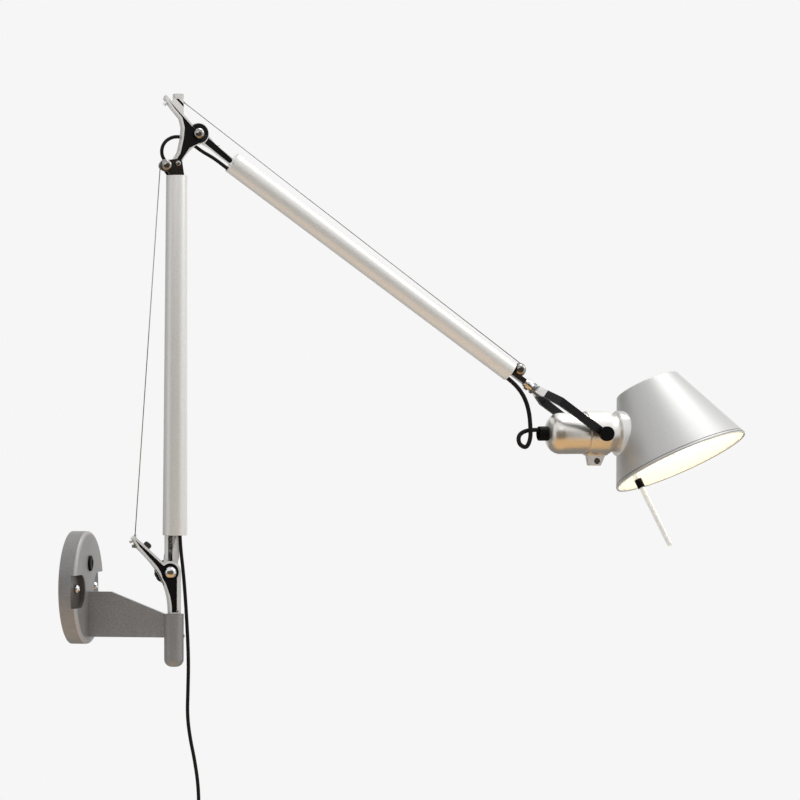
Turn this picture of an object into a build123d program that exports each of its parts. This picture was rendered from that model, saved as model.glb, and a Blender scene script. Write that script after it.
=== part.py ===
from build123d import *

import math
import os

# Articulating wall lamp, in millimetres. +X out of the wall, +Z up, origin at the wall plate's back face.
# The arms lie in one upright plane through the socket's axis. They are drawn in that plane as (t, y, z):
# t along it away from the wall, y across it, the near side being -y, and REST swings them into place.

os.makedirs("parts", exist_ok=True)

# ---- driving dimensions ----
reach = 130.0  # wall to the socket's axis
rest_swivel = 27.0  # arms' plane from the wall's normal
running = 0.05  # radial clearance of pins that turn
free_gap = 0.3  # between pieces that pass each other

plate_r = 70.5
plate_t = 22.0
plate_wall = 3.5
screw_spacing = 90.0
screw_hole_r = 2.75

socket_r = 12.2
socket_top = -32.0
socket_bottom = -98.0
bore_bottom = -84.0
bush_r = 8.5
base_pin_r = 6.0
spigot_r = 4.0

casting_half = 6.6  # half the lever's and the elbow casting's thickness
web_half = 4.8
tongue_half = 2.4
slot_half = tongue_half + free_gap
pivot_bolt_r = 3.0

lower_pivot = (-6.5, 20.0)
foot = (1.3, 66.0)
top = (3.55, 514.5)
foot_r = 15.4
top_r = 13.15
wall_t = 1.5

upper_pivot = (30.2, 567.0)
joint_bolt = (3.1, 528.9)
lower_pulley_at = (-11.5, 526.7)
lower_groove_r = 6.0
upper_groove_r = 7.4
wire_r = 0.6

arm_start = (74.3, 532.0)
arm_slope = 35.35
arm_length = 451.0
arm_r = 13.5

pulley_past = 8.3  # far pulley's centre, beyond the upper tube's end
pulley_lift = 8.7
knuckle_past = 23.0
knuckle_length = 12.5
pin_past_knuckle = 13.5
eye_past = 140.1  # head's tilt axis, beyond the upper tube's end
eye_lift = 1.8

cable_d = 4.5
head_cable_d = 5.6  # with its sleeve, over the last stretch

shade_angle = 71.3  # between the lampholder's axis and the shade's
shade_roll = 18.1
shade_seat = 33.4  # from the tilt axis to where the lampholder goes through the shade's wall
shade_up = 69.4
shade_down = 40.0
mouth_r = 90.0
crown_r = 42.4
shade_wall = 1.2

holder_r = 26.5
holder_back = -65.5
neck_r = 24.0
neck_from = 17.5
neck_wall = 2.6
gland_r = 6.0
flange_r = 29.0
flange_from = shade_seat - 4.9
ring_half = 14.1
ring_r = 28.6
knob_r = 9.5
yoke_half = 36.0

REST = Location((reach, 0, 0), (0, 0, rest_swivel))
slope = math.radians(arm_slope)
along = Vector(math.cos(slope), 0, -math.sin(slope))
across = Vector(math.sin(slope), 0, math.cos(slope))
ARM = REST * Location(Plane(origin=(arm_start[0], 0, arm_start[1]), x_dir=along, z_dir=across))


def off_arm(a, b):
    """A place along and across the upper arm, as (t, z) in the arms' plane."""
    spot = Vector(arm_start[0], 0, arm_start[1]) + along * a + across * b
    return (spot.X, spot.Z)


tilt_axis = off_arm(arm_length + eye_past, eye_lift)
HEAD = REST * Location((tilt_axis[0], 0, tilt_axis[1]))
LAMP = HEAD * Location((0, 0, 0), (-shade_roll, 0, 0))
tip = math.radians(shade_angle)
flare = (mouth_r - crown_r) / (shade_up + shade_down)
to_wall = (crown_r + flare * shade_up) / (math.sin(tip) + flare * math.cos(tip))
shade_cross = shade_seat + to_wall  # from the tilt axis to where the two axes cross
SHADE = LAMP * Location(
    Plane(
        origin=(shade_cross, 0, 0),
        x_dir=(math.sin(tip), 0, math.cos(tip)),
        z_dir=(-math.cos(tip), 0, math.sin(tip)),
    )
)
FROM_BASE = (Align.CENTER, Align.CENTER, Align.MIN)


# ---- shapes used again ----
def rod(start, end, radius, end_radius=None):
    """Round bar, or taper, from start to end."""
    run = Vector(*end) - Vector(*start)
    seat = Plane(origin=start, z_dir=run)
    if end_radius in (None, radius):
        return seat * Cylinder(radius, run.length, align=FROM_BASE)
    return seat * Cone(radius, end_radius, run.length, align=FROM_BASE)


def pin(at, y_from, y_to, radius):
    """Round bar across the arms' plane at (t, z)."""
    return rod((at[0], y_from, at[1]), (at[0], y_to, at[1]), radius)


def slab(outline, y_from, y_to):
    """A flat outline in (t, z), given thickness from y_from to y_to."""
    seat = Plane(origin=(0, y_to, 0), x_dir=(1, 0, 0), z_dir=(0, -1, 0))
    return extrude(seat * outline, amount=y_to - y_from, dir=(0, -1, 0))


def link(first, first_r, second, second_r):
    """Outline of two discs and the straight edges that join them."""
    discs = Pos(*first) * Circle(first_r) + Pos(*second) * Circle(second_r)
    return make_hull(discs.edges())


def shape(points):
    return Polygon(*points, align=None)


def dome_nut(at, y, side, radius, height):
    """Flat washer and rounded cap standing on a face at y, pointing to side."""
    cap = pin(at, min(y, y + side * height), max(y, y + side * height), radius)
    crown = cap.edges().filter_by(GeomType.CIRCLE).sort_by(Axis.Y)[-1 if side > 0 else 0]
    return fillet(crown, radius=min(radius, height) * 0.8)


def on_line(start, end, share):
    return tuple(a + (b - a) * share for a, b in zip(start, end))


def tangent_point(anchor, centre, radius, side):
    """Where a wire from anchor touches a pulley's groove."""
    dx, dz = centre[0] - anchor[0], centre[1] - anchor[1]
    span = math.hypot(dx, dz)
    aim = math.atan2(dz, dx) + side * math.asin(radius / span)
    length = math.sqrt(span**2 - radius**2)
    return (anchor[0] + length * math.cos(aim), anchor[1] + length * math.sin(aim))


def bend_radii(route):
    """Largest radius for each corner of a cord's route."""
    points = [Vector(*p) for p in route]
    radii = []
    for before, at, after in zip(points, points[1:], points[2:]):
        turn = math.radians((at - before).get_angle(after - at))
        shorter = min((at - before).length, (after - at).length)
        radii.append(0.45 * shorter / math.tan(turn / 2))
    return radii


def cord_tube(name, route, diameter):
    """Cord along a hand-chosen route of straight runs joined by arcs."""
    radii = bend_radii(route)
    path = FilletPolyline(*route, radius=radii)
    first = Vector(*route[1]) - Vector(*route[0])
    tube = sweep(Plane(origin=route[0], z_dir=first) * Circle(diameter / 2), path=path)
    section = math.pi * diameter**2 / 4
    print(name, "length", round(path.length, 1), "least radius", round(min(radii), 1))
    print(name, "volume over section x length", round(tube.volume / (section * path.length), 4))
    return tube


def save(name, solid, seat=REST):
    if isinstance(solid, list):
        solid = Compound(children=[seat * piece for piece in solid])
    else:
        solid = seat * solid
    solid.label = name
    export_step(solid, f"parts/{name}.step")
    print(name, round(solid.volume / 1000, 2), "cm3", solid.is_valid)


WORLD = Location((0, 0, 0))


# ---- wall side ----
def wall_bracket():
    rib_half = 26.0
    front_round = 4.0
    recess_half = 20.5
    recess_inner = 21.0  # its rounded inner end, from the plate's middle
    recess_z = -3.0
    recess_depth = 7.0
    cable_hole_r = 8.0
    cable_hole_z = 30.3
    fin_half = 4.0
    disc = rod((0, 0, 0), (plate_t, 0, 0), plate_r)
    disc = fillet(disc.edges().filter_by(GeomType.CIRCLE).sort_by(Axis.X)[-1], front_round)
    hollow = rod((0, 0, 0), (plate_t - plate_wall, 0, 0), plate_r - plate_wall)
    hollow -= Box(4 * plate_t, 3 * plate_r, 2 * rib_half)
    plate = disc - hollow - rod((0, 0, cable_hole_z), (plate_t, 0, cable_hole_z), cable_hole_r)
    for side in (-1, 1):
        at_y = side * screw_spacing / 2
        inner_y = side * (recess_inner + recess_half)
        plate -= rod((plate_t - recess_depth, inner_y, recess_z), (plate_t, inner_y, recess_z), recess_half)
        way_out = Box(recess_depth, plate_r, 2 * recess_half)
        plate -= Pos(plate_t - recess_depth / 2, inner_y + side * plate_r / 2, recess_z) * way_out
        plate -= rod((0, at_y, 0), (plate_t, at_y, 0), screw_hole_r)
    fin_root = plate_t - 1
    fin_end = reach - 6
    fin_side = [(fin_root, -5), (50, -5), (fin_end, -34.5), (fin_end, -61.5), (fin_root, -61.5)]
    fin = slab(shape(fin_side), -fin_half, fin_half)
    socket = rod((reach, 0, socket_bottom), (reach, 0, socket_top), socket_r)
    socket = fillet(socket.edges().filter_by(GeomType.CIRCLE).sort_by(Axis.Z)[0], 9.5)
    bracket = plate + fin + socket
    bracket -= rod((reach, 0, bore_bottom), (reach, 0, 0), bush_r)
    return bracket - rod((reach, 0, -59.5), (reach + 20, 0, -59.5), 2.0)


def cable_grommet():
    head = rod((plate_t, 0, 30.3), (plate_t + 3, 0, 30.3), 9.9)
    head = fillet(head.edges().filter_by(GeomType.CIRCLE).sort_by(Axis.X)[-1], 1.2)
    return head + rod((plate_t - 6, 0, 30.3), (plate_t, 0, 30.3), 8.0)


def socket_bush():
    bush = rod((reach, 0, bore_bottom), (reach, 0, socket_top), bush_r)
    bush -= rod((reach, 0, bore_bottom + 2), (reach, 0, 0), base_pin_r + running)
    return bush - rod((reach, 0, -59.5), (reach + 20, 0, -59.5), 2.0)


def set_screw():
    return rod((reach + base_pin_r + free_gap, 0, -59.5), (reach + socket_r + 1.2, 0, -59.5), 2.0)


# ---- base lever, swivelling in the socket ----
lever_foot = socket_top + free_gap
cross_at = (2.7, -28.5)
adjuster_low = (-50.2, 50.5)
adjuster_high = (-49.6, 67.5)


def base_pin():
    pin_body = rod((0, 0, bore_bottom + 2.3), (0, 0, lever_foot), base_pin_r)
    pin_body += rod((0, 0, lever_foot), (0, 0, -12), spigot_r)
    return pin_body - pin(cross_at, -10, 10, 1.5)


def base_cross_pin():
    return pin(cross_at, -casting_half, casting_half, 1.5)


def lever_outline():
    right = lower_pivot[0] + 14
    lever_back = [(-6.6, lever_foot), (-7.2, -19), (-14, 6.7), (-24.5, 25), (-47.5, 50.5)]
    edge = [
        Line((right, lever_foot), (-6.6, lever_foot)),
        Spline(*lever_back, tangents=((0, 1), (-1, 1))),
        Polyline((-47.5, 50.5), (-54, 62.8), (-51.6, 65.6), (-14.2, 31.66)),
        ThreePointArc((-14.2, 31.66), (0.5, 32.1), (right, lower_pivot[1])),
        Line((right, lower_pivot[1]), (right, lever_foot)),
    ]
    return make_face(edge)


def lever_recess():
    """The sunk black face inside the lever's bright rim."""
    low_edge = [(-50.8, 60.6), (-45.3, 52.4), (-22.6, 27.2), (-16, 16)]
    arm_end = low_edge + [(-10, 24), (-18, 31.2), (-50.6, 60.9)]
    foot_end = [(-17, 14.6), (-12, 6), (-6.4, -10), (-4.4, -22), (-4.2, -30), (2.5, -30), (2.5, 16)]
    return shape(arm_end) + shape(foot_end) + Pos(*lower_pivot) * Circle(11.2)


def base_lever():
    lever = slab(lever_outline(), -casting_half, casting_half)
    for near, far in ((-casting_half, -web_half), (web_half, casting_half)):
        lever -= slab(lever_recess(), near, far)
    lever -= slab(slot_outline(lower_pivot, 17.5, (62, 138)), -slot_half, slot_half)
    lever -= pin(lower_pivot, -20, 20, pivot_bolt_r + running)
    lever -= rod((0, 0, lever_foot), (0, 0, -12), spigot_r)
    lever -= pin(cross_at, -10, 10, 1.5)
    return lever - lower_adjuster() - base_tip_screw()


def slot_outline(pivot, radius, swing):
    """Room for a tongue that turns about the pivot, opening over the swing's angles."""
    room = Pos(*pivot) * Circle(radius)
    far = 60.0
    fan = [pivot]
    for share in (0, 0.25, 0.5, 0.75, 1):
        turn = math.radians(swing[0] + (swing[1] - swing[0]) * share)
        fan.append((pivot[0] + far * math.cos(turn), pivot[1] + far * math.sin(turn)))
    return room + shape(fan)


def base_rubber_stop():
    seat = Vector(-36.0, 0, 51.46)
    out = Vector(0.672, 0, 0.741)
    stop = rod(tuple(seat), tuple(seat + out * 6.5), 5.0)
    return fillet(stop.edges().filter_by(GeomType.CIRCLE).sort_by(Axis.Z)[-1], 2.5)


def lower_adjuster():
    low = (adjuster_low[0], 0, adjuster_low[1])
    high = (adjuster_high[0], 0, adjuster_high[1])
    nut = rod(on_line(low, high, 0.02), on_line(low, high, 0.25), 3.3)
    return rod(low, high, 1.5) + nut


def base_tip_screw():
    return rod((-52.7, 0, 60.2), (-56.6, 0, 57.8), 1.9)


# ---- wires and pulleys ----
lower_anchor = adjuster_high
lower_touch = tangent_point(lower_anchor, lower_pulley_at, lower_groove_r, 1)
upper_anchor = (13.6, 605.1)
upper_pulley_arm = (arm_length + pulley_past, pulley_lift)
upper_pulley_at = off_arm(*upper_pulley_arm)
upper_touch = tangent_point(upper_anchor, upper_pulley_at, upper_groove_r, 1)


def straight_wire(start, end):
    return rod((start[0], 0, start[1]), (end[0], 0, end[1]), wire_r)


def pulley(at, groove_r, hub_half):
    wheel = pin(at, -2.2, 2.2, groove_r + 1.4)
    groove_floor = groove_r - wire_r - 0.1
    ring = pin(at, -1.0, 1.0, groove_r + 3) - pin(at, -1.0, 1.0, groove_floor)
    wheel = wheel - ring + pin(at, -hub_half, hub_half, 3.2)
    return wheel - pin(at, -20, 20, 2.0 + running)


# ---- lower arm ----
def foot_spigot():
    at_20 = on_line((foot[0], 0, foot[1]), (top[0], 0, top[1]), 20 / 448.5)
    inner = foot_r - wall_t
    shrink = (foot_r - top_r) * 20 / 448.5
    return rod((foot[0], 0, foot[1]), at_20, inner, inner - shrink)


def lower_fork():
    tongue = link(lower_pivot, 8.9, (-2.7, 40), 8.9)
    tongue += shape([(-11.6, 40), (6.2, 40), (6.2, 70), (-11.6, 70)])
    body = slab(tongue, -tongue_half, tongue_half)
    strip = shape([(-7.9, 26), (-2.5, 26), (-2.5, 66), (-7.9, 66)])
    body -= slab(strip, -tongue_half, -tongue_half + 1.2)
    body -= slab(strip, tongue_half - 1.2, tongue_half)
    body -= pin(lower_pivot, -10, 10, pivot_bolt_r)
    body -= pin((-5.2, 46.5), -10, 10, 1.7)
    spigot = foot_spigot()
    spigot -= slab(shape([(2.5, 60), (9.4, 60), (9.4, 90), (2.5, 90)]), -8.2, -tongue_half)
    return body + spigot


def fork_rivet():
    return pin((-5.2, 46.5), -tongue_half - 0.6, tongue_half + 0.6, 1.7)


def tapered_tube(start, end, start_r, end_r):
    outer = rod(start, end, start_r, end_r)
    return outer - rod(start, end, start_r - wall_t, end_r - wall_t)


def lower_tube():
    return tapered_tube((foot[0], 0, foot[1]), (top[0], 0, top[1]), foot_r, top_r)


def lower_pivot_bolt():
    """Bolt with its washer, and a dome nut on the near side."""
    near = -casting_half - free_gap
    bolt = pin(lower_pivot, near - 1.0, casting_half + 9.0, pivot_bolt_r)
    return bolt + dome_nut(lower_pivot, near, -1, 7.5, 7.5)


def lower_friction_knob():
    near = casting_half + free_gap
    knob = pin(lower_pivot, near, near + 11, 14.9)
    knob = fillet(knob.edges().filter_by(GeomType.CIRCLE), 1.5)
    for step in range(12):
        turn = math.radians(30 * step)
        groove = (lower_pivot[0] + 15.6 * math.cos(turn), lower_pivot[1] + 15.6 * math.sin(turn))
        knob -= pin(groove, 0, 30, 1.6)
    return knob - pin(lower_pivot, 0, casting_half + 9.2, pivot_bolt_r + running)


cheek_in = casting_half + 0.1
cheek_out = cheek_in + 2.2


def lower_top_fitting():
    cheek = link(lower_pulley_at, 6.2, joint_bolt, 5.8)
    cheek += shape([(-7, top[1]), (11, top[1]), (8.8, 529), (-14, 524)])
    drop = 18
    low = on_line((top[0], 0, top[1]), (foot[0], 0, foot[1]), drop / 448.5)
    bore_r = top_r - wall_t
    grow = (foot_r - top_r) * drop / 448.5
    body = rod(low, (top[0], 0, top[1]), bore_r + grow - 0.02, bore_r - 0.02)
    body += slab(cheek, -cheek_out, -cheek_in) + slab(cheek, cheek_in, cheek_out)
    body -= slab(shape([(-9, 490), (-3.4, 490), (-3.4, 520), (-9, 520)]), -2.2, 2.2)
    cable_way = [(0.6, 490), (7.4, 490), (7.4, 520.8), (0.6, 522.5)]
    body -= slab(shape(cable_way), 6.2, 20)
    body -= pin(lower_pulley_at, -20, 20, 2.0)
    return body - pin(joint_bolt, -20, 20, 2.0) - lower_tube()


def lower_pulley_bolt():
    bolt = pin(lower_pulley_at, -cheek_out - 1, cheek_out + 2, 2.0)
    return bolt + dome_nut(lower_pulley_at, -cheek_out, -1, 6.5, 5.5)


def joint_bolt_piece():
    bolt = pin(joint_bolt, -cheek_out - 1, cheek_out + 2, 2.0)
    return bolt + dome_nut(joint_bolt, -cheek_out, -1, 3.6, 3.0)


def spring_body(start, end, radius):
    return rod(start, end, radius) - rod(start, end, radius - 1.8)


def lower_spring():
    """Closed-wound balance spring as a plain sleeve, with its lower hook and the wire's plug."""
    x = -1.2
    coil = spring_body((x, 0, 112), (x, 0, 400), 7.0)
    hook = rod((x, 0, 86.05), (x, 0, 114), 1.5) + rod((x, 0, 112), (x, 0, 116), 6.0)
    leave = (lower_pulley_at[0] + lower_groove_r, 0, lower_pulley_at[1])
    return coil + hook + rod((x, 0, 394), (x, 0, 401), 5.4) + rod((x, 0, 400), leave, wire_r)


block_top = 609.6  # anchor block at the casting's upper end
block_front = 10.9
plate_up = 6.5


def elbow_outline():
    back = [(-2.3, 529), (-0.6, 535), (5, 543.7), (8.6, 560), (9.9, 573.9), (7.2, 585), (-2.8, 596.5)]
    edge = [
        Polyline(*back, (-12.6, block_top)),
        Line((-12.6, block_top), (-10.9, block_top + 4.4)),
        Polyline((-10.9, block_top + 4.4), (0, 602.4), (10.9, 590.6), (22.5, 578)),
        ThreePointArc((22.5, 578), (43.2, 564), (34, 553.6)),
        Spline((34, 553.6), (20.3, 546.5), (8.5, 531), tangents=((-1, 0.05), (-0.45, -1))),
        Line((8.5, 531), (8.5, 527)),
        ThreePointArc((8.5, 527), (3.1, 522.6), (-2.3, 529)),
    ]
    return make_face(edge)


def elbow_recess():
    """The sunk black face of the casting's Y."""
    return shape(
        [
            (0.6, 532),
            (6.8, 541.8),
            (10.9, 560),
            (12.2, 574),
            (9, 586.5),
            (-1, 598),
            (-9.6, 609.4),
            (9, 589.4),
            (21, 576.5),
            (40.2, 564),
            (33.4, 556),
            (19, 549),
            (7, 532),
        ]
    )


def anchor_block():
    return shape([(-5.6, 606.4), (0, block_top), (block_front, block_top), (block_front, 588)])


def elbow_casting():
    casting = slab(elbow_outline(), -casting_half, casting_half)
    casting += slab(anchor_block(), -casting_half, casting_half)
    for near, far in ((-casting_half, -web_half), (web_half, casting_half)):
        casting -= slab(elbow_recess(), near, far)
    casting -= slab(slot_outline(upper_pivot, 13.5, (-124, 62)), -slot_half, slot_half)
    pulley_room = Pos(*lower_pulley_at) * Circle(lower_groove_r + 2.4)
    casting -= slab(pulley_room, -slot_half, slot_half)
    casting -= pin(upper_pivot, -20, 20, pivot_bolt_r)
    casting -= pin(joint_bolt, -20, 20, 2.0)
    for pad in elbow_pads():
        casting -= pad
    return casting - upper_wire_anchor() - elbow_tip_screw()


def pad_outline():
    return shape([(0.8, block_top), (4.6, block_top), (block_front, 603.2), (block_front, 599.4)])


def elbow_pads():
    """Black inlays on the anchor block's two sides."""
    deep = 2.0
    near = slab(pad_outline(), -casting_half, -casting_half + deep)
    return [near, slab(pad_outline(), casting_half - deep, casting_half)]


def anchor_plate():
    return slab(shape([(0, block_top), (block_front, block_top), (block_front, block_top + plate_up), (0, block_top + plate_up)]), -casting_half, casting_half)


def upper_wire_anchor():
    inner = on_line(upper_anchor, upper_touch, -0.0125)
    return rod((inner[0], 0, inner[1]), (upper_anchor[0], 0, upper_anchor[1]), 1.5)


def elbow_tip_screw():
    """Tip screw and its nut below the casting's upper end."""
    out = Vector(-0.72, 0, -0.69)
    seat = Vector(-8.4, 0, 606.0)
    return rod(tuple(seat), tuple(seat + out * 6.0), 2.2)


def upper_pivot_bolt():
    near = -casting_half - free_gap
    bolt = pin(upper_pivot, near - 1.0, casting_half + 4.0, pivot_bolt_r)
    head = dome_nut(upper_pivot, -casting_half, -1, 7.0, 6.5)
    return bolt + head + pin(upper_pivot, casting_half, casting_half + 4.0, 6.0)


# ---- upper arm, drawn as (along, y, across) from the tube's elbow end ----
arm_pivot = (-56.2, 3.0)
knuckle_from = arm_length + knuckle_past
knuckle_to = knuckle_from + knuckle_length
swivel_far = knuckle_to + pin_past_knuckle
ears_in = 2.9
ears_out = 5.2


def upper_fork():
    tongue = link(arm_pivot, 8.6, (-30, 1.2), 4.6) + link((-30, 1.2), 4.6, (2, 0), 4.2)
    body = slab(tongue, -tongue_half, tongue_half)
    strip = link((-44, 2.6), 4.2, (-4, 0.2), 3.3)
    body -= slab(strip, -tongue_half, -tongue_half + 1.0)
    body -= slab(strip, tongue_half - 1.0, tongue_half)
    body += rod((0, 0, 0), (20, 0, 0), arm_r - wall_t)
    body -= slab(shape([(-1, -12.4), (21, -12.4), (21, -6.6), (-1, -6.6)]), -3.2, 3.2)
    body -= rod((-26, 0, 0), (-26, 0, 9), 1.0)
    return body - pin(arm_pivot, -10, 10, pivot_bolt_r + running)


def upper_fork_screw():
    return rod((-26, 0, 0), (-26, 0, 8.4), 1.0) + rod((-26, 0, 7.2), (-26, 0, 8.4), 1.7)


def upper_tube():
    return tapered_tube((0, 0, 0), (arm_length, 0, 0), arm_r, arm_r)


def far_fitting():
    """Plug deep in the tube, core rod, and two cheeks for the pulley and the swivel."""
    plug_at = arm_length - 40
    core_end = knuckle_from - 5
    body = rod((plug_at, 0, 0), (plug_at + 18, 0, 0), arm_r - wall_t)
    body -= rod((plug_at, 0, 1.3), (plug_at + 19, 0, 1.3), 2.2)
    core_side = [(plug_at + 18, -3.2), (knuckle_from, -3.2), (knuckle_from, 3.6), (plug_at + 18, 3.6)]
    way_side = [(plug_at + 18, -0.6), (core_end, -0.6), (core_end, 4), (plug_at + 18, 4)]
    core = slab(shape(core_side), -ears_out, ears_out) - slab(shape(way_side), -ears_in, ears_in)
    pulley_x = upper_pulley_arm[0]
    ears = link(upper_pulley_arm, 6.4, (pulley_x, 1.0), 6.4)
    ears -= Pos(pulley_x, -3.2 - 5) * Rectangle(40, 10)
    body += core + slab(ears, -ears_out, -ears_in) + slab(ears, ears_in, ears_out)
    body -= pin(upper_pulley_arm, -10, 10, 2.0)
    return body - swivel_pin()


def upper_pulley_bolt():
    bolt = pin(upper_pulley_arm, -ears_out - 1, ears_out + 2, 2.0)
    return bolt + dome_nut(upper_pulley_arm, -ears_out, -1, 7.2, 5.5)


def upper_spring():
    lift = upper_pulley_arm[1] - upper_groove_r
    near = 60.0
    far = arm_length - 131
    coil = spring_body((near, 0, lift), (far, 0, lift), 7.0)
    hook = rod((20, 0, lift), (near + 2, 0, lift), 1.5) + rod((near, 0, lift), (near + 4, 0, lift), 6.0)
    wire = rod((far, 0, lift), (upper_pulley_arm[0], 0, lift), wire_r)
    return coil + hook + rod((far - 6, 0, lift), (far + 1, 0, lift), 5.4) + wire


def swivel_knuckle():
    body = rod((knuckle_from, 0, 0), (knuckle_to, 0, 0), 5.6)
    body += rod((knuckle_from + 3, 0, 0), (knuckle_to - 4, 0, 0), 7.6)
    return body - rod((knuckle_from - 20, 0, 0), (swivel_far, 0, 0), 2.6)


def swivel_pin():
    return rod((knuckle_from - 4, 0, 0), (swivel_far, 0, 0), 2.6)


# ---- yoke ----
yoke_lift = 1.0
prong_half = 3.0
hub_from = knuckle_to + free_gap
eye_along = arm_length + eye_past
bridge_from = hub_from + 3.2
bridge_to = bridge_from + 7.5


def prong_line():
    """Middle line of one prong, as (along, y)."""
    shoulder = (eye_along - 71.8, yoke_half - 1)
    return [(bridge_from + 4, 7.5), shoulder, (eye_along - 42, yoke_half), (eye_along, yoke_half)]


def yoke():
    outline = Sketch()
    for side in (-1, 1):
        line = [(a, side * y) for a, y in prong_line()]
        for start, end in zip(line, line[1:]):
            outline += link(start, prong_half, end, prong_half)
    outline += shape([(bridge_from, -9.5), (bridge_to, -9.5), (bridge_to, 9.5), (bridge_from, 9.5)])
    plate = Pos(0, 0, yoke_lift - 5.5) * extrude(outline, amount=11.0)
    middle = (eye_along - 72, yoke_lift)
    waist = (eye_along - 31, yoke_lift)
    side_view = link((bridge_from + 2, yoke_lift), 4.6, middle, 5.5) + link(middle, 5.5, waist, 4.8)
    side_view += link(waist, 4.8, (eye_along, eye_lift), 7.0)
    bar = plate & slab(side_view, -50, 50)
    bar -= rod((knuckle_from, 0, 0), (swivel_far + 0.5, 0, 0), 5.0)
    return bar - pin((eye_along, eye_lift), -50, 50, 4.0 + running)


def yoke_hub():
    hub = rod((hub_from, 0, 0), (swivel_far + 0.5, 0, 0), 5.0)
    hub += rod((hub_from, 0, 0), (bridge_from, 0, 0), 7.4)
    return hub - rod((knuckle_from, 0, 0), (swivel_far + 0.2, 0, 0), 2.6 + running)


# ---- clamp and knobs, drawn about the tilt axis ----
def clamp_ring():
    lug_half = 6.0
    ring = rod((-ring_half, 0, 0), (ring_half, 0, 0), ring_r)
    lug_side = [(-13.5, -20), (-9.5, -41.3), (5.5, -41.3), (13.5, -24), (13.5, -20)]
    lug = slab(shape(lug_side), -lug_half, lug_half)
    ring = ring + lug - rod((-20, 0, 0), (20, 0, 0), holder_r + running)
    ring -= Pos(0, 0, -35) * Box(40, 2.0, 30)
    ring -= pin((0.4, -35.4), -20, 20, 2.0)
    ring -= pin((0.4, -35.4), -lug_half, -lug_half + 3.0, 3.9)
    return ring - pin((0.4, -35.4), lug_half - 2.0, lug_half, 3.4)


def clamp_screw():
    head = pin((0.4, -35.4), -5.6, -3.0, 3.6)
    nut = pin((0.4, -35.4), 4.0, 6.0, 3.4)
    return pin((0.4, -35.4), -5.0, 5.0, 2.0) + head + nut


def tilt_studs():
    """Shouldered studs that carry the ring in the yoke's eyes."""
    studs = []
    for side in (-1, 1):
        start = ring_r - 1.0
        shoulder = yoke_half - prong_half - free_gap
        stud = rod((0, side * start, 0), (0, side * shoulder, 0), 5.6)
        stud += rod((0, side * shoulder, 0), (0, side * (yoke_half + prong_half + 0.2), 0), 4.0)
        stud += rod((0, side * yoke_half, 0), (0, side * (yoke_half + 9), 0), 2.0)
        studs.append(stud - rod((-20, 0, 0), (20, 0, 0), ring_r))
    return studs


def head_knob(side):
    near = yoke_half + prong_half + 0.5
    knob = rod((0, side * near, 0), (0, side * (near + 8.0), 0), knob_r)
    knob = fillet(knob.edges().filter_by(GeomType.CIRCLE), 1.2)
    return knob - rod((0, 0, 0), (0, side * (yoke_half + 9.2), 0), 2.0 + running)


# ---- lamp, drawn along the lampholder's axis from the tilt axis ----
def cone_solid(inset):
    """The shade's outer body, drawn in by inset."""
    height = shade_up + shade_down
    side_in = inset * math.sqrt(1 + flare**2)
    low_r = mouth_r - side_in
    crown = crown_r - side_in + flare * inset
    return Pos(0, 0, -shade_down) * Cone(low_r, crown, height - inset, align=FROM_BASE)


def in_lamp(solid):
    """A solid of the shade's own frame, moved into the lampholder's."""
    return (LAMP.inverse() * SHADE) * solid


def shade():
    body = cone_solid(0)
    body = fillet(body.edges().filter_by(GeomType.CIRCLE).sort_by(Axis.Z)[-1], 2.5)
    body -= cone_solid(shade_wall)
    rim = Pos(0, 0, -shade_down) * Torus(mouth_r - 0.6, 1.5)
    body += rim
    hole = (SHADE.inverse() * LAMP) * rod((0, 0, 0), (60, 0, 0), neck_r)
    return body - hole


neck_to = shade_seat + 18.6


def holder_can():
    can = rod((holder_back, 0, 0), (neck_from, 0, 0), holder_r)
    return fillet(can.edges().filter_by(GeomType.CIRCLE).sort_by(Axis.X)[0], 17.5)


def housing():
    outer = holder_can() + rod((neck_from, 0, 0), (neck_to, 0, 0), neck_r)
    outer -= rod((holder_back + 12, 0, 0), (neck_to, 0, 0), neck_r - neck_wall)
    return outer - rod((holder_back, 0, 0), (0, 0, 0), gland_r)


def cable_gland():
    body = rod((-77.5, 0, 0), (holder_back + 1.5, 0, 0), 9.3)
    body = fillet(body.edges().filter_by(GeomType.CIRCLE).sort_by(Axis.X)[0], 1.0)
    body -= holder_can()
    body += rod((holder_back - 1, 0, 0), (holder_back + 14, 0, 0), gland_r)
    return body - rod((-78, 0, 0), (-72, 0, 0), 7.75)


def shade_flange():
    ring = rod((flange_from, 0, 0), (shade_seat + 26, 0, 0), flange_r) - in_lamp(cone_solid(0))
    ring -= rod((0, 0, 0), (80, 0, 0), neck_r)
    return ring.solids().sort_by(Axis.X)[0]


def ring_nut():
    """Nut on the neck inside the shade, with the boss that holds the handle."""
    inside = in_lamp(cone_solid(shade_wall))
    nut = rod((shade_seat - 5.4, 0, 0), (neck_to - 2, 0, 0), flange_r) & inside
    nut += rod((neck_to - 8.5, 0, 0), (neck_to - 2, 0, 0), flange_r) + handle_boss()
    nut -= rod((0, 0, 0), (80, 0, 0), neck_r)
    return nut - handle_bar()


handle_foot = to_wall * math.sin(tip) - 0.9  # from the shade's axis to the handle's lower end
handle_lean = 2.5  # degrees off the shade's axis
handle_r = 3.5
handle_drop = 99.0  # below the shade's mouth
handle_top = 33.0
ferrule_to = -3.0  # its upper end, from the mouth
ferrule_long = 12.0


def on_handle(above_mouth):
    """A place on the handle's own line, by its height above the shade's mouth."""
    out = handle_foot + (above_mouth + handle_drop) * math.tan(math.radians(handle_lean))
    return (-out, 0, above_mouth - shade_down)


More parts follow.
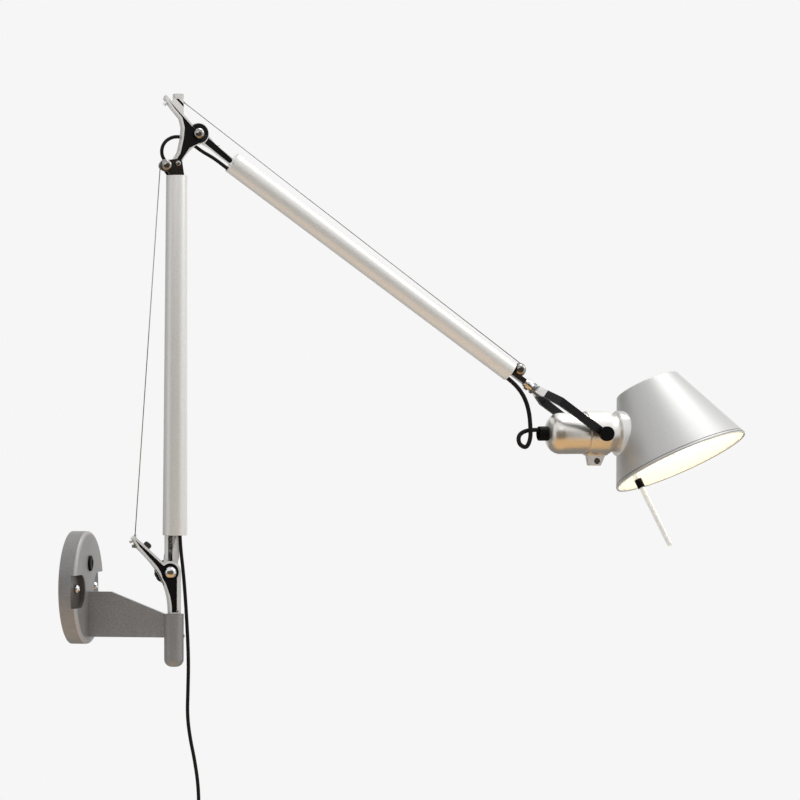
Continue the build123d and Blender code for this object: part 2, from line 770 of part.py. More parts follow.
def handle_bar():
    """The handle's bar, on the lampholder's side of the shade."""
    bar = rod(on_handle(-handle_drop), on_handle(handle_top), handle_r)
    bar = fillet(bar.edges().filter_by(GeomType.CIRCLE).sort_by(Axis.Z)[0], 3.2)
    return in_lamp(bar)


def handle_boss():
    return in_lamp(rod(on_handle(handle_top - 12), on_handle(handle_top - 1), handle_r + 2.0))


def handle_ferrule():
    sleeve = rod(on_handle(ferrule_to - ferrule_long), on_handle(ferrule_to), handle_r + 1.3)
    return in_lamp(sleeve) - handle_bar()


def lampholder_insert():
    body = rod((20, 0, 0), (62, 0, 0), 18.5)
    body += rod((20, 0, 0), (26, 0, 0), neck_r - neck_wall)
    return body - rod((40, 0, 0), (62, 0, 0), 13.6)


def bulb():
    glass = revolve(
        Plane.XY
        * make_face(
            [
                Polyline((150, 0), (40.5, 0), (40.5, 13.2), (63, 13.2)),
                Spline((63, 13.2), (84, 18), (118, 27.5), (150, 0), tangents=((1, 0.05), (0, -1))),
            ]
        ),
        Axis.X,
    )
    return glass


# ---- cords, as hand-chosen routes in the arms' plane ----
elbow_route = [
    (4.0, 8.6, 498.0),
    (3.9, 8.9, 513.0),
    (0.8, 12.0, 523.5),
    (-7.6, 13.2, 531.5),
    (-13.6, 12.6, 542.5),
    (-10.6, 12.2, 555.5),
    (0.6, 11.8, 563.6),
    (14.6, 11.4, 563.4),
    (27.0, 10.4, 554.0),
    (39.0, 8.6, 545.0),
    (51.0, 4.6, 538.0),
    (64.9, 0.6, 527.2),
    (74.2, 0.2, 520.2),
]
head_bends = [  # from the head's tilt axis
    (-129.3, 0.0, 78.8),
    (-116.8, -0.6, 69.4),
    (-105.0, -1.6, 58.5),
    (-96.3, -2.6, 45.0),
    (-90.9, -2.8, 28.0),
    (-89.1, -2.8, 9.5),
    (-88.9, -2.6, -7.0),
    (-93.9, -1.2, -18.9),
    (-103.3, 0.8, -13.9),
    (-103.9, 2.4, -2.9),
    (-95.9, 2.8, 3.1),
    (-84.5, 1.2, 5.0),
    (-72.7, 0.4, 4.6),
]
head_route = [(tilt_axis[0] + t, y, tilt_axis[1] + z) for t, y, z in head_bends]
free_route = [
    (6.0, -5.2, 84.0),
    (6.2, -5.2, 58.0),
    (11.2, -5.0, 17.0),
    (14.8, -5.0, -32.0),
    (17.6, -5.0, -88.0),
    (16.7, -5.0, -128.0),
    (15.8, -5.0, -158.0),
    (19.2, -5.0, -186.0),
    (25.2, -5.0, -214.0),
    (30.0, -5.0, -246.0),
    (30.8, -5.0, -280.0),
    (30.8, -5.0, -312.0),
]


# ---- put-away coil ----
turn_pitch = 5.1
coil_turns = 4.5
coil_out_r = 36.0


def biarc(start, start_way, end, end_way):
    """Two arcs from start to end with the given directions."""
    gap = end - start
    both = start_way + end_way
    bend = 2 * (1 - start_way.dot(end_way))
    reach_d = (-gap.dot(both) + math.sqrt(gap.dot(both) ** 2 + bend * gap.dot(gap))) / bend
    middle = (start + start_way * reach_d + end - end_way * reach_d) * 0.5
    way = ((end - end_way * reach_d) - (start + start_way * reach_d)).normalized()
    return [TangentArc(start, middle, tangent=start_way), TangentArc(middle, end, tangent=way)]


def coil_stations():
    """Points and directions every quarter turn: in, over to the next layer, and out again."""
    middle = (free_route[-1][0] - coil_out_r, free_route[-1][1], free_route[-1][2] - cable_d)
    quarters_in = int(coil_turns * 4)
    climb = 2
    quarters_out = quarters_in - 2
    inner_r = coil_out_r - turn_pitch * coil_turns
    stations = []
    for quarter in range(quarters_in + climb + quarters_out + 1):
        inward = min(quarter, quarters_in)
        rise = min(max(quarter - quarters_in, 0), climb) / climb
        outward = max(quarter - quarters_in - climb, 0)
        turning = 0 < quarter - quarters_in < climb
        radius = coil_out_r - turn_pitch * (inward - outward) / 4 - (1.7 if turning else 0)
        angle = -math.pi / 2 * quarter
        drift = turn_pitch / (math.pi * inner_r) if turning else 0.0
        climbing = quarters_in <= quarter <= quarters_in + climb
        spread = 0.0 if climbing else turn_pitch / (2 * math.pi * radius)
        spread = spread if outward == 0 else -spread
        spread = 0.0 if quarter == 0 or outward == quarters_out else spread
        at = Vector(
            middle[0] + radius * math.cos(angle),
            middle[1] + turn_pitch * rise,
            middle[2] + radius * math.sin(angle),
        )
        way = Vector(
            math.sin(angle) - spread * math.cos(angle),
            drift,
            -math.cos(angle) - spread * math.sin(angle),
        ).normalized()
        stations.append((at, way))
    return stations


def cord_coil():
    stations = coil_stations()
    edges = [Line(stations[0][0] + Vector(0, 0, cable_d), stations[0][0])]
    for (start, start_way), (end, end_way) in zip(stations, stations[1:]):
        edges += biarc(start, start_way, end, end_way)
    last = stations[-1][0]
    edges.append(Line(last, last - Vector(0, 0, tail_run)))
    path = Wire([piece.edge() for piece in edges])
    spots = [path.position_at(step / 1500) for step in range(1501)]
    per_step = path.length / 1500
    far = int(30 / per_step)
    least = min(
        (spots[i] - spots[j]).length for i in range(0, 1501, 3) for j in range(i + far, 1501, 3)
    )
    print("coil length", round(path.length), "least gap to itself", round(least - cable_d, 2))
    start = free_route[-1]
    tube = sweep(Plane(origin=start, z_dir=(0, 0, -1)) * Circle(cable_d / 2), path=path)
    print("coil volume over section x length", tube.volume / (math.pi * cable_d**2 / 4 * path.length))
    return tube


tail_run = 48.0
plug_length = 36.0
boot_length = 20.0


def plug_top():
    last = coil_stations()[-1][0]
    return (last.X, last.Y, last.Z - tail_run)


def cord_plug():
    x, y, z = plug_top()
    boot = rod((x, y, z), (x, y, z - boot_length), cable_d / 2 + 1.0, 5.0)
    body = Pos(x, y, z - boot_length - plug_length / 2) * Box(24, 13, plug_length)
    body = fillet(body.edges(), 3.0)
    return boot + body


def plug_pins():
    x, y, z = plug_top()
    face = z - boot_length - plug_length
    return [rod((x + side * 9.5, y, face), (x + side * 9.5, y, face - 19), 2.0) for side in (-1, 1)]


def cord_tie():
    """Strap closed round the coil's turns at its left."""
    middle_x = free_route[-1][0] - coil_out_r
    mid_y = free_route[-1][1] + turn_pitch / 2
    z = free_route[-1][2] - cable_d
    inner = coil_out_r - turn_pitch * coil_turns - 3.4
    outer = coil_out_r + 3.0
    span = outer - inner
    centre = Pos(middle_x - inner - span / 2, mid_y, z)
    bundle = turn_pitch + cable_d + 1.2
    return centre * (Box(span + 2, bundle + 2, 6) - Box(span, bundle, 6))


# ---- every node ----
save("wall_bracket", wall_bracket(), WORLD)
save("cable_grommet", cable_grommet(), WORLD)
save("socket_bush", socket_bush(), WORLD)
save("set_screw", set_screw(), WORLD)

save("base_pin", base_pin())
save("base_cross_pin", base_cross_pin())
save("base_lever", base_lever())
save("base_rubber_stop", base_rubber_stop())
save("lower_adjuster", lower_adjuster())
save("base_tip_screw", base_tip_screw())
save("lower_wire", straight_wire(lower_anchor, lower_touch))

save("lower_fork", lower_fork())
save("fork_rivet", fork_rivet())
save("lower_tube", lower_tube())
save("lower_pivot_bolt", lower_pivot_bolt())
save("lower_friction_knob", lower_friction_knob())
save("lower_top_fitting", lower_top_fitting())
save("lower_pulley", pulley(lower_pulley_at, lower_groove_r, cheek_in - free_gap))
save("lower_pulley_bolt", lower_pulley_bolt())
save("joint_bolt", joint_bolt_piece())
save("lower_spring", lower_spring())
save("elbow_casting", elbow_casting())
save("elbow_pads", elbow_pads())
save("anchor_plate", anchor_plate() - upper_wire_anchor())
save("upper_wire_anchor", upper_wire_anchor())
save("elbow_tip_screw", elbow_tip_screw())
save("upper_pivot_bolt", upper_pivot_bolt())
save("elbow_cable", cord_tube("elbow_cable", elbow_route, cable_d))
save("upper_wire", straight_wire(upper_anchor, upper_touch))

save("upper_fork", upper_fork(), ARM)
save("upper_fork_screw", upper_fork_screw(), ARM)
save("upper_tube", upper_tube(), ARM)
save("far_fitting", far_fitting(), ARM)
save("upper_pulley", pulley(upper_pulley_arm, upper_groove_r, ears_in - free_gap), ARM)
save("upper_pulley_bolt", upper_pulley_bolt(), ARM)
save("upper_spring", upper_spring(), ARM)
save("swivel_knuckle", swivel_knuckle(), ARM)
save("swivel_pin", swivel_pin(), ARM)

save("yoke", yoke(), ARM)
save("yoke_hub", yoke_hub(), ARM)
save("head_cable", cord_tube("head_cable", head_route, head_cable_d))
save("clamp_ring", clamp_ring(), HEAD)
save("clamp_screw", clamp_screw(), HEAD)
save("tilt_studs", tilt_studs(), HEAD)
save("head_knob_near", head_knob(-1), HEAD)
save("head_knob_far", head_knob(1), HEAD)

save("housing", housing(), LAMP)
save("cable_gland", cable_gland(), LAMP)
save("shade_flange", shade_flange(), LAMP)
save("ring_nut", ring_nut(), LAMP)
save("lampholder_insert", lampholder_insert(), LAMP)
save("bulb", bulb(), LAMP)
save("shade", shade(), SHADE)
save("handle_rod", handle_bar(), LAMP)
save("handle_ferrule", handle_ferrule(), LAMP)

save("free_cord", cord_tube("free_cord", free_route, cable_d))
save("cord_coil", cord_coil())
save("cord_tie", cord_tie())
save("cord_plug", cord_plug())
save("plug_pins", plug_pins())
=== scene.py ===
import math

import bmesh
import bpy
from mathutils import Matrix, Vector


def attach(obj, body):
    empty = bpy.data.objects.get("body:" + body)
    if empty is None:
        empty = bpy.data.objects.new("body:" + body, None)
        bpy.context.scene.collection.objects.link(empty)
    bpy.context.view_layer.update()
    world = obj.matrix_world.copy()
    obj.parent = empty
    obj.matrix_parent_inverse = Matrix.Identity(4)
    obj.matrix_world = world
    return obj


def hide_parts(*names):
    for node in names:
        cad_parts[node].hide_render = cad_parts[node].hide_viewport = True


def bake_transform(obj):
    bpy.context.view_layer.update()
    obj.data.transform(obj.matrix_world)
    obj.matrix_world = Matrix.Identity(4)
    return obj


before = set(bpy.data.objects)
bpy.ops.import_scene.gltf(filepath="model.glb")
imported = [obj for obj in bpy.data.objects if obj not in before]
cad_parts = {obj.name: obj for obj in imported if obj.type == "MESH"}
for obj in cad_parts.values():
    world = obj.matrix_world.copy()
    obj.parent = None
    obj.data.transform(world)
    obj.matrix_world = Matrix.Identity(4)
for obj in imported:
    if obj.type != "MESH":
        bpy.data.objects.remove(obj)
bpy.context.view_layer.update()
bpy.context.scene.view_settings.view_transform = "Standard"


# ---- camera ----
# Level, five metres off, looking along the wall and ten degrees away from it.
camera_data = bpy.data.cameras.new("camera")
camera_data.lens = 179.7
camera_data.sensor_width = 36.0
camera = bpy.data.objects.new("camera", camera_data)
camera.location = (1.2718, -4.8529, 0.2345)
camera.rotation_euler = (math.radians(90), 0, math.radians(10))
bpy.context.collection.objects.link(camera)
bpy.context.scene.camera = camera


# ---- studio ----
# A pale floor well below the lamp, and soft light from above, the right and the front. Four toned cards
# out of the picture show only as reflections, as a photographer of polished metal puts them up.
PAPER = "#f6f6f6"


def linear(colour):
    """sRGB hex to linear RGBA."""
    parts = [int(colour[i : i + 2], 16) / 255 for i in (1, 3, 5)]
    return tuple(p / 12.92 if p <= 0.04045 else ((p + 0.055) / 1.055) ** 2.4 for p in parts) + (1.0,)


def add(owner, kind, inputs=None, **settings):
    """Adds one node with its settings, and sets or links its inputs."""
    tree = owner if isinstance(owner, bpy.types.NodeTree) else owner.node_tree
    made = tree.nodes.new(kind)
    for name, value in settings.items():
        setattr(made, name, value)
    for socket, value in (inputs or {}).items():
        if isinstance(value, bpy.types.NodeSocket):
            tree.links.new(value, made.inputs[socket])
        else:
            made.inputs[socket].default_value = value
    return made


def fresh_material(name):
    """An empty material to add nodes to."""
    material = bpy.data.materials.new(name)
    material.use_nodes = True
    material.node_tree.nodes.clear()
    return material


def flat_sheet(name, width, height, place, material):
    """A rectangle in its own XY, put in place by its mesh."""
    mesh = bpy.data.meshes.new(name)
    w, h = width / 2, height / 2
    mesh.from_pydata([(-w, -h, 0), (w, -h, 0), (w, h, 0), (-w, h, 0)], [], [(0, 1, 2, 3)])
    mesh.transform(place)
    mesh.materials.append(material)
    sheet = bpy.data.objects.new(name, mesh)
    bpy.context.collection.objects.link(sheet)
    return sheet


paper = fresh_material("studio_paper")
paper_face = add(paper, "ShaderNodeBsdfDiffuse", {"Color": linear(PAPER)})
add(paper, "ShaderNodeOutputMaterial", {"Surface": paper_face.outputs[0]})
flat_sheet("floor", 5.6, 5.6, Matrix.Translation((0.3, 0.0, -0.62)), paper)

LAMP_MIDDLE = Vector((0.42, 0.12, 0.25))


def card(name, spot, width, height, colour, lying=False):
    """A self-lit card, facing the lamp or lying, that only shows in its bright metal."""
    aim = (LAMP_MIDDLE - Vector(spot)).to_track_quat("Z", "Y").to_matrix().to_4x4()
    face = fresh_material(name)
    glow = add(face, "ShaderNodeEmission", {"Color": linear(colour)})
    add(face, "ShaderNodeOutputMaterial", {"Surface": glow.outputs[0]})
    sheet = flat_sheet(
        name,
        width,
        height,
        Matrix.Translation(spot) @ (Matrix.Identity(4) if lying else aim),
        face,
    )
    sheet.visible_camera = False
    sheet.visible_diffuse = False
    sheet.visible_shadow = False


card("card_front", (0.5, -1.2, 0.05), 3.2, 1.35, "#62574a")
card("card_left", (-1.5, 0.7, 0.25), 2.6, 1.8, "#8d8b87")
card("card_low", (0.5, -0.45, -0.56), 2.6, 1.5, "#e2b77f", lying=True)
card("card_back", (0.2, 1.35, -0.56), 4.0, 2.1, "#84817c", lying=True)

for name, spot, size, power in (
    ("light_above", (0.9, 0.7, 2.6), 1.6, 33.0),
    ("light_right", (3.0, 0.6, 1.9), 1.6, 25.0),
    ("light_front", (0.6, -4.4, 1.4), 3.0, 16.0),
):
    lamp_data = bpy.data.lights.new(name, "AREA")
    lamp_data.energy = power
    lamp_data.size = size
    light = bpy.data.objects.new(name, lamp_data)
    light.location = spot
    light.rotation_euler = (LAMP_MIDDLE - Vector(spot)).to_track_quat("-Z", "Y").to_euler()
    bpy.context.collection.objects.link(light)

world = bpy.data.worlds.new("studio")
world.use_nodes = True
world.node_tree.nodes.clear()
ray = add(world, "ShaderNodeLightPath")
seen = add(
    world,
    "ShaderNodeMath",
    {0: ray.outputs["Is Camera Ray"], 1: ray.outputs["Is Glossy Ray"]},
    operation="MAXIMUM",
)
seen = add(
    world,
    "ShaderNodeMath",
    {0: seen.outputs[0], 1: ray.outputs["Is Transmission Ray"]},
    operation="MAXIMUM",
)
fill = add(world, "ShaderNodeBackground", {"Color": linear("#ffffff"), "Strength": 0.55})
pale = add(world, "ShaderNodeBackground", {"Color": linear(PAPER), "Strength": 1.0})
sky = add(world, "ShaderNodeMixShader", {0: seen.outputs[0], 1: fill.outputs[0], 2: pale.outputs[0]})
add(world, "ShaderNodeOutputWorld", {"Surface": sky.outputs[0]})
bpy.context.scene.world = world


# ---- supply cord, its coil and the plug ----
# Round black PVC mains lead out of the lower tube's foot. It hangs beside the lever, and what isn't
# needed is wound in a tied coil with a two-pin plug.
CORD_BLACK = "#0d0d0e"
CORD_DIAMETER = 0.0045

# The arms' upright plane stands this far off the wall and is swung this far round the socket.
ARMS_FOOT = 0.130
ARMS_TURN = math.radians(27)
REST = Matrix.Translation((ARMS_FOOT, 0, 0)) @ Matrix.Rotation(ARMS_TURN, 4, "Z")


def at_rest(t, y, z):
    """A point of the arms' upright plane, in millimetres, as it stands in the scene."""
    return REST @ Vector((t / 1000, y / 1000, z / 1000))


def cord_line(name, points):
    """Points along the smooth NURBS line of a cord's route."""
    data = bpy.data.curves.new(name, "CURVE")
    data.dimensions = "3D"
    data.resolution_u = 10
    spline = data.splines.new("NURBS")
    spline.points.add(len(points) - 1)
    for knot, point in zip(spline.points, points):
        knot.co = (*point, 1.0)
    spline.order_u = 3
    spline.use_endpoint_u = True
    line = bpy.data.objects.new(name, data)
    mesh = bpy.data.meshes.new_from_object(line)
    found = [vertex.co.copy() for vertex in mesh.vertices]
    bpy.data.objects.remove(line)
    bpy.data.meshes.remove(mesh)
    return found


def tube_along(name, line, diameter, sides=14):
    """A closed round tube that follows the line without twist."""
    shell = bmesh.new()
    way = (line[1] - line[0]).normalized()
    side = way.orthogonal().normalized()
    rings = []
    for index, at in enumerate(line):
        before = line[max(index - 1, 0)]
        after = line[min(index + 1, len(line) - 1)]
        way = (after - before).normalized()
        side = (side - way * side.dot(way)).normalized()
        up = way.cross(side)
        turns = [2 * math.pi * n / sides for n in range(sides)]
        rings.append(
            [shell.verts.new(at + (side * math.cos(a) + up * math.sin(a)) * diameter / 2) for a in turns]
        )
    for low, high in zip(rings, rings[1:]):
        for n in range(sides):
            face = shell.faces.new((low[n], low[(n + 1) % sides], high[(n + 1) % sides], high[n]))
            face.smooth = True
    shell.faces.new(list(reversed(rings[0])))
    shell.faces.new(rings[-1])
    mesh = bpy.data.meshes.new(name)
    shell.to_mesh(mesh)
    shell.free()
    piece = bpy.data.objects.new(name, mesh)
    bpy.context.collection.objects.link(piece)
    return piece


def surface(material, colour, roughness, metallic=0.0, bump=None, **more):
    """Ends a material with its shader. A colour or roughness may be a socket."""
    inputs = {"Base Color": colour, "Roughness": roughness, "Metallic": metallic}
    inputs.update({name.replace("_", " "): value for name, value in more.items()})
    if bump is not None:
        inputs["Normal"] = bump
    shader = add(material, "ShaderNodeBsdfPrincipled", inputs)
    add(material, "ShaderNodeOutputMaterial", {"Surface": shader.outputs[0]})


def grain(material, size_mm, detail=2.0):
    """Noise on Object coordinates, with cells of a real size."""
    place = add(material, "ShaderNodeTexCoord")
    return add(
        material,
        "ShaderNodeTexNoise",
        {"Vector": place.outputs["Object"], "Scale": 1000 / size_mm, "Detail": detail},
    ).outputs[0]


def between(material, share, low, high):
    """A value from low to high as share goes from 0.3 to 0.7."""
    return add(
        material,
        "ShaderNodeMapRange",
        {"Value": share, "From Min": 0.3, "From Max": 0.7, "To Min": low, "To Max": high},
    ).outputs[0]


def blend_colours(material, share, first, second):
    """A colour that goes from first to second with share. Either may be a socket."""
    first = linear(first) if isinstance(first, str) else first
    second = linear(second) if isinstance(second, str) else second
    return add(material, "ShaderNodeMix", {0: share, 6: first, 7: second}, data_type="RGBA").outputs[2]


def bumped(material, height, depth_mm):
    """Relief of a real depth."""
    return add(
        material,
        "ShaderNodeBump",
        {"Height": height, "Distance": depth_mm / 1000, "Strength": 1.0},
    ).outputs[0]


# Extruded PVC: a soft semi-gloss black, with the faint waviness of a drawn sheath.
cord_pvc = fresh_material("cord_pvc")
sheath = grain(cord_pvc, 2.5)
surface(
    cord_pvc,
    blend_colours(cord_pvc, sheath, CORD_BLACK, "#141416"),
    between(cord_pvc, sheath, 0.42, 0.56),
    bump=bumped(cord_pvc, sheath, 0.05),
    IOR=1.53,
    Specular_IOR_Level=0.18,
)

free_points = [
    (6.0, -5.2, 84.0),
    (6.2, -5.2, 58.0),
    (11.2, -5.0, 17.0),
    (14.8, -5.0, -32.0),
    (17.6, -5.0, -88.0),
    (16.7, -5.0, -128.0),
    (15.8, -5.0, -158.0),
    (19.2, -5.0, -186.0),
    (25.2, -5.0, -214.0),
    (30.0, -5.0, -246.0),
    (30.8, -5.0, -280.0),
    (30.8, -5.0, -312.0),
]
coil_middle = (-5.2, -5.0, -316.5)
coil_out = 36.0
coil_pitch = 5.1
per_turn = 16
for step in range(9 * per_turn + 1):
    inward = min(step / per_turn, 4.5)
    rise = min(max(step / per_turn - 4.5, 0), 0.5) / 0.5
    outward = max(step / per_turn - 5.0, 0)
    bow = math.sin(math.pi * rise) * 1.7
    radius = coil_out - coil_pitch * (inward - outward) - bow
    angle = -2 * math.pi * step / per_turn
    free_points.append(
        (
            coil_middle[0] + radius * math.cos(angle),
            coil_middle[1] + coil_pitch * rise,
            coil_middle[2] + radius * math.sin(angle),
        )
    )
cord_end = free_points[-1]
free_points += [(cord_end[0], cord_end[1], cord_end[2] - drop) for drop in (12, 30, 49)]
lead_line = cord_line("lead_line", [at_rest(*point) for point in free_points])
supply_cord = tube_along("supply_cord", lead_line, CORD_DIAMETER, 12)
supply_cord.data.materials.append(cord_pvc)
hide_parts("free_cord", "cord_coil")


def eased_copy(name, node, ease_mm, material, body, sharp=32):
    """A solid's mesh with doubles merged, flat faces made whole, and its edges eased by a bevel."""
    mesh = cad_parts[node].data.copy()
    mesh.materials.clear()
    mesh.materials.append(material)
    shell = bmesh.new()
    shell.from_mesh(mesh)
    bmesh.ops.remove_doubles(shell, verts=shell.verts, dist=1e-6)
    bmesh.ops.dissolve_limit(
        shell, angle_limit=math.radians(0.5), verts=shell.verts, edges=shell.edges, delimit={"SHARP"}
    )
    for face in shell.faces:
        face.smooth = True
        face.material_index = 0
    shell.to_mesh(mesh)
    shell.free()
    mesh.set_sharp_from_angle(angle=math.radians(sharp))
    piece = bpy.data.objects.new(name, mesh)
    bpy.context.collection.objects.link(piece)
    if ease_mm:
        rounding = piece.modifiers.new("ease", "BEVEL")
        rounding.width = ease_mm / 1000
        rounding.segments = 2
        rounding.limit_method = "ANGLE"
        rounding.angle_limit = math.radians(sharp)
        level = piece.modifiers.new("level", "WEIGHTED_NORMAL")
        level.keep_sharp = True
        keep_result(piece)
    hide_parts(node)
    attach(piece, body)
    return piece


def keep_result(piece):
    """Turns a piece's modifiers into plain mesh."""
    seen_now = bpy.context.evaluated_depsgraph_get()
    seen_now.update()
    plain = bpy.data.meshes.new_from_object(piece.evaluated_get(seen_now))
    piece.modifiers.clear()
    piece.data = plain


# Injection-moulded PVC, duller than the lead, with a fine spark-eroded grain.
plug_pvc = fresh_material("plug_pvc")
plug_grain = grain(plug_pvc, 0.8)
surface(
    plug_pvc,
    blend_colours(plug_pvc, plug_grain, "#101011", "#1b1b1c"),
    between(plug_pvc, plug_grain, 0.45, 0.6),
    bump=bumped(plug_pvc, plug_grain, 0.04),
    IOR=1.53,
)
# Turned nickel-plated brass: warm bright metal with faint lathe rings.
pin_nickel = fresh_material("pin_nickel")
pin_grain = grain(pin_nickel, 0.6)
surface(
    pin_nickel,
    blend_colours(pin_nickel, pin_grain, "#c9c4b8", "#dcd8cd"),
    between(pin_nickel, pin_grain, 0.18, 0.3),
    1.0,
)

cord_tie = eased_copy("cord_tie_strap", "cord_tie", 0.4, plug_pvc, "base")
cord_plug = eased_copy("mains_plug", "cord_plug", 0.0, plug_pvc, "base")
plug_pins = eased_copy("mains_plug_pins", "plug_pins", 0.4, pin_nickel, "base")
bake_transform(supply_cord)


# ---- cable loop over the elbow ----
# The same lead comes out of the lower tube's top, loops round the back of the joint and goes in at the
# upper tube's open end.
elbow_points = [
    (4.0, 8.6, 498.0),
    (3.9, 8.9, 513.0),
    (0.8, 12.0, 523.5),
    (-7.6, 13.2, 531.5),
    (-13.6, 12.6, 542.5),
    (-10.6, 12.2, 555.5),
    (0.6, 11.8, 563.6),
    (14.6, 11.4, 563.4),
    (27.0, 10.4, 554.0),
    (39.0, 8.6, 545.0),
    (51.0, 4.6, 538.0),
    (64.9, 0.6, 527.2),
    (74.2, 0.2, 520.2),
]
elbow_line = cord_line("elbow_line", [at_rest(*point) for point in elbow_points])
elbow_loop = tube_along("elbow_loop", elbow_line, CORD_DIAMETER)
elbow_loop.data.materials.append(cord_pvc)
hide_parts("elbow_cable")
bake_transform(elbow_loop)


# ---- cable loop at the head ----
# The lead again, in a thicker sleeve, out under the end of the upper tube, down and round to the gland.
head_points = [
    (428.2, 0.0, 270.3),
    (440.7, -0.6, 260.9),
    (452.5, -1.6, 250.0),
    (461.2, -2.6, 236.5),
    (466.6, -2.8, 219.5),
    (468.4, -2.8, 201.0),
    (468.6, -2.6, 184.5),
    (463.6, -1.2, 172.6),
    (454.2, 0.8, 177.6),
    (453.6, 2.4, 188.6),
    (461.6, 2.8, 194.6),
    (473.0, 1.2, 196.5),
    (484.8, 0.4, 196.1),
]
HEAD_CORD_DIAMETER = 0.0056
head_line = cord_line("head_line", [at_rest(*point) for point in head_points])
head_loop = tube_along("head_loop", head_line, HEAD_CORD_DIAMETER)
head_loop.data.materials.append(cord_pvc)
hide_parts("head_cable")
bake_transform(head_loop)


# ---- wall bracket ----
# One aluminium casting: a hollow round plate, a tapered fin and an upright socket, in textured grey
# powder coat. Two chromed screws in the plate's side recesses hold it to the wall.
def step_mask(material, value, edge, operation):
    """1 or 0, from one comparison of a value with an edge."""
    return add(material, "ShaderNodeMath", {0: value, 1: edge}, operation=operation).outputs[0]


def both(material, first, second):
    """1 where both masks are 1."""
    return step_mask(material, first, second, "MULTIPLY")


# Powder coat over cast metal: matt, with an orange-peel grain of about 1 mm that catches light. Painted
# shade darkens the recesses, and a painted highlight makes the plate's front rounding paler.
RECESS_MIDDLE, RECESS_HALF, RECESS_INNER = -0.003, 0.0208, 0.0205
RECESS_FLOOR, RECESS_LIP, RECESS_RIM = 0.0148, 0.0208, 0.0695
ROUND_FROM, ROUND_TO, ROUND_OUT = 0.0184, 0.0222, 0.0668
bracket_coat = fresh_material("bracket_powder_coat")
peel = grain(bracket_coat, 1.1, 3.0)
cloud = grain(bracket_coat, 22.0)
coat_place = add(bracket_coat, "ShaderNodeTexCoord").outputs["Object"]
coat_axes = add(bracket_coat, "ShaderNodeSeparateXYZ", {0: coat_place})
depth_in = coat_axes.outputs["X"]
aside = add(bracket_coat, "ShaderNodeMath", {0: coat_axes.outputs["Y"]}, operation="ABSOLUTE").outputs[0]
across_recess = add(
    bracket_coat,
    "ShaderNodeMath",
    {0: coat_axes.outputs["Z"], 1: -RECESS_MIDDLE},
    operation="ADD",
)
across_recess = add(
    bracket_coat,
    "ShaderNodeMath",
    {0: across_recess.outputs[0]},
    operation="ABSOLUTE",
).outputs[0]
plate_spot = add(bracket_coat, "ShaderNodeCombineXYZ", {"X": aside, "Y": coat_axes.outputs["Z"]}).outputs[0]
from_middle = add(
    bracket_coat,
    "ShaderNodeVectorMath",
    {0: plate_spot},
    operation="LENGTH",
).outputs["Value"]
# Painted shade: the recess walls and floor are coloured darker.
painted_recess_shade = both(
    bracket_coat,
    both(
        bracket_coat,
        step_mask(bracket_coat, aside, RECESS_INNER, "GREATER_THAN"),
        step_mask(bracket_coat, across_recess, RECESS_HALF, "LESS_THAN"),
    ),
    both(
        bracket_coat,
        step_mask(bracket_coat, depth_in, RECESS_LIP, "LESS_THAN"),
        step_mask(bracket_coat, depth_in, RECESS_FLOOR, "GREATER_THAN"),
    ),
)
painted_recess_shade = both(bracket_coat, painted_recess_shade, step_mask(bracket_coat, from_middle, RECESS_RIM, "LESS_THAN"))
# Painted highlight: the plate's front rounding is coloured paler.
painted_rim_highlight = both(
    bracket_coat,
    step_mask(bracket_coat, depth_in, ROUND_FROM, "GREATER_THAN"),
    step_mask(bracket_coat, from_middle, ROUND_OUT, "GREATER_THAN"),
)
painted_rim_highlight = both(bracket_coat, painted_rim_highlight, step_mask(bracket_coat, depth_in, ROUND_TO, "LESS_THAN"))
tone = blend_colours(bracket_coat, between(bracket_coat, peel, 0.0, 1.0), "#7d7c7b", "#9d9c9b")
tone = blend_colours(bracket_coat, between(bracket_coat, cloud, 0.0, 0.45), tone, "#858280")
tone = blend_colours(bracket_coat, painted_recess_shade, tone, "#56524f")
tone = blend_colours(bracket_coat, painted_rim_highlight, tone, "#aeadac")
surface(
    bracket_coat,
    tone,
    between(bracket_coat, peel, 0.36, 0.52),
    0.25,
    bump=bumped(bracket_coat, peel, 0.10),
)
eased_copy("bracket_casting", "wall_bracket", 0.5, bracket_coat, "wall")


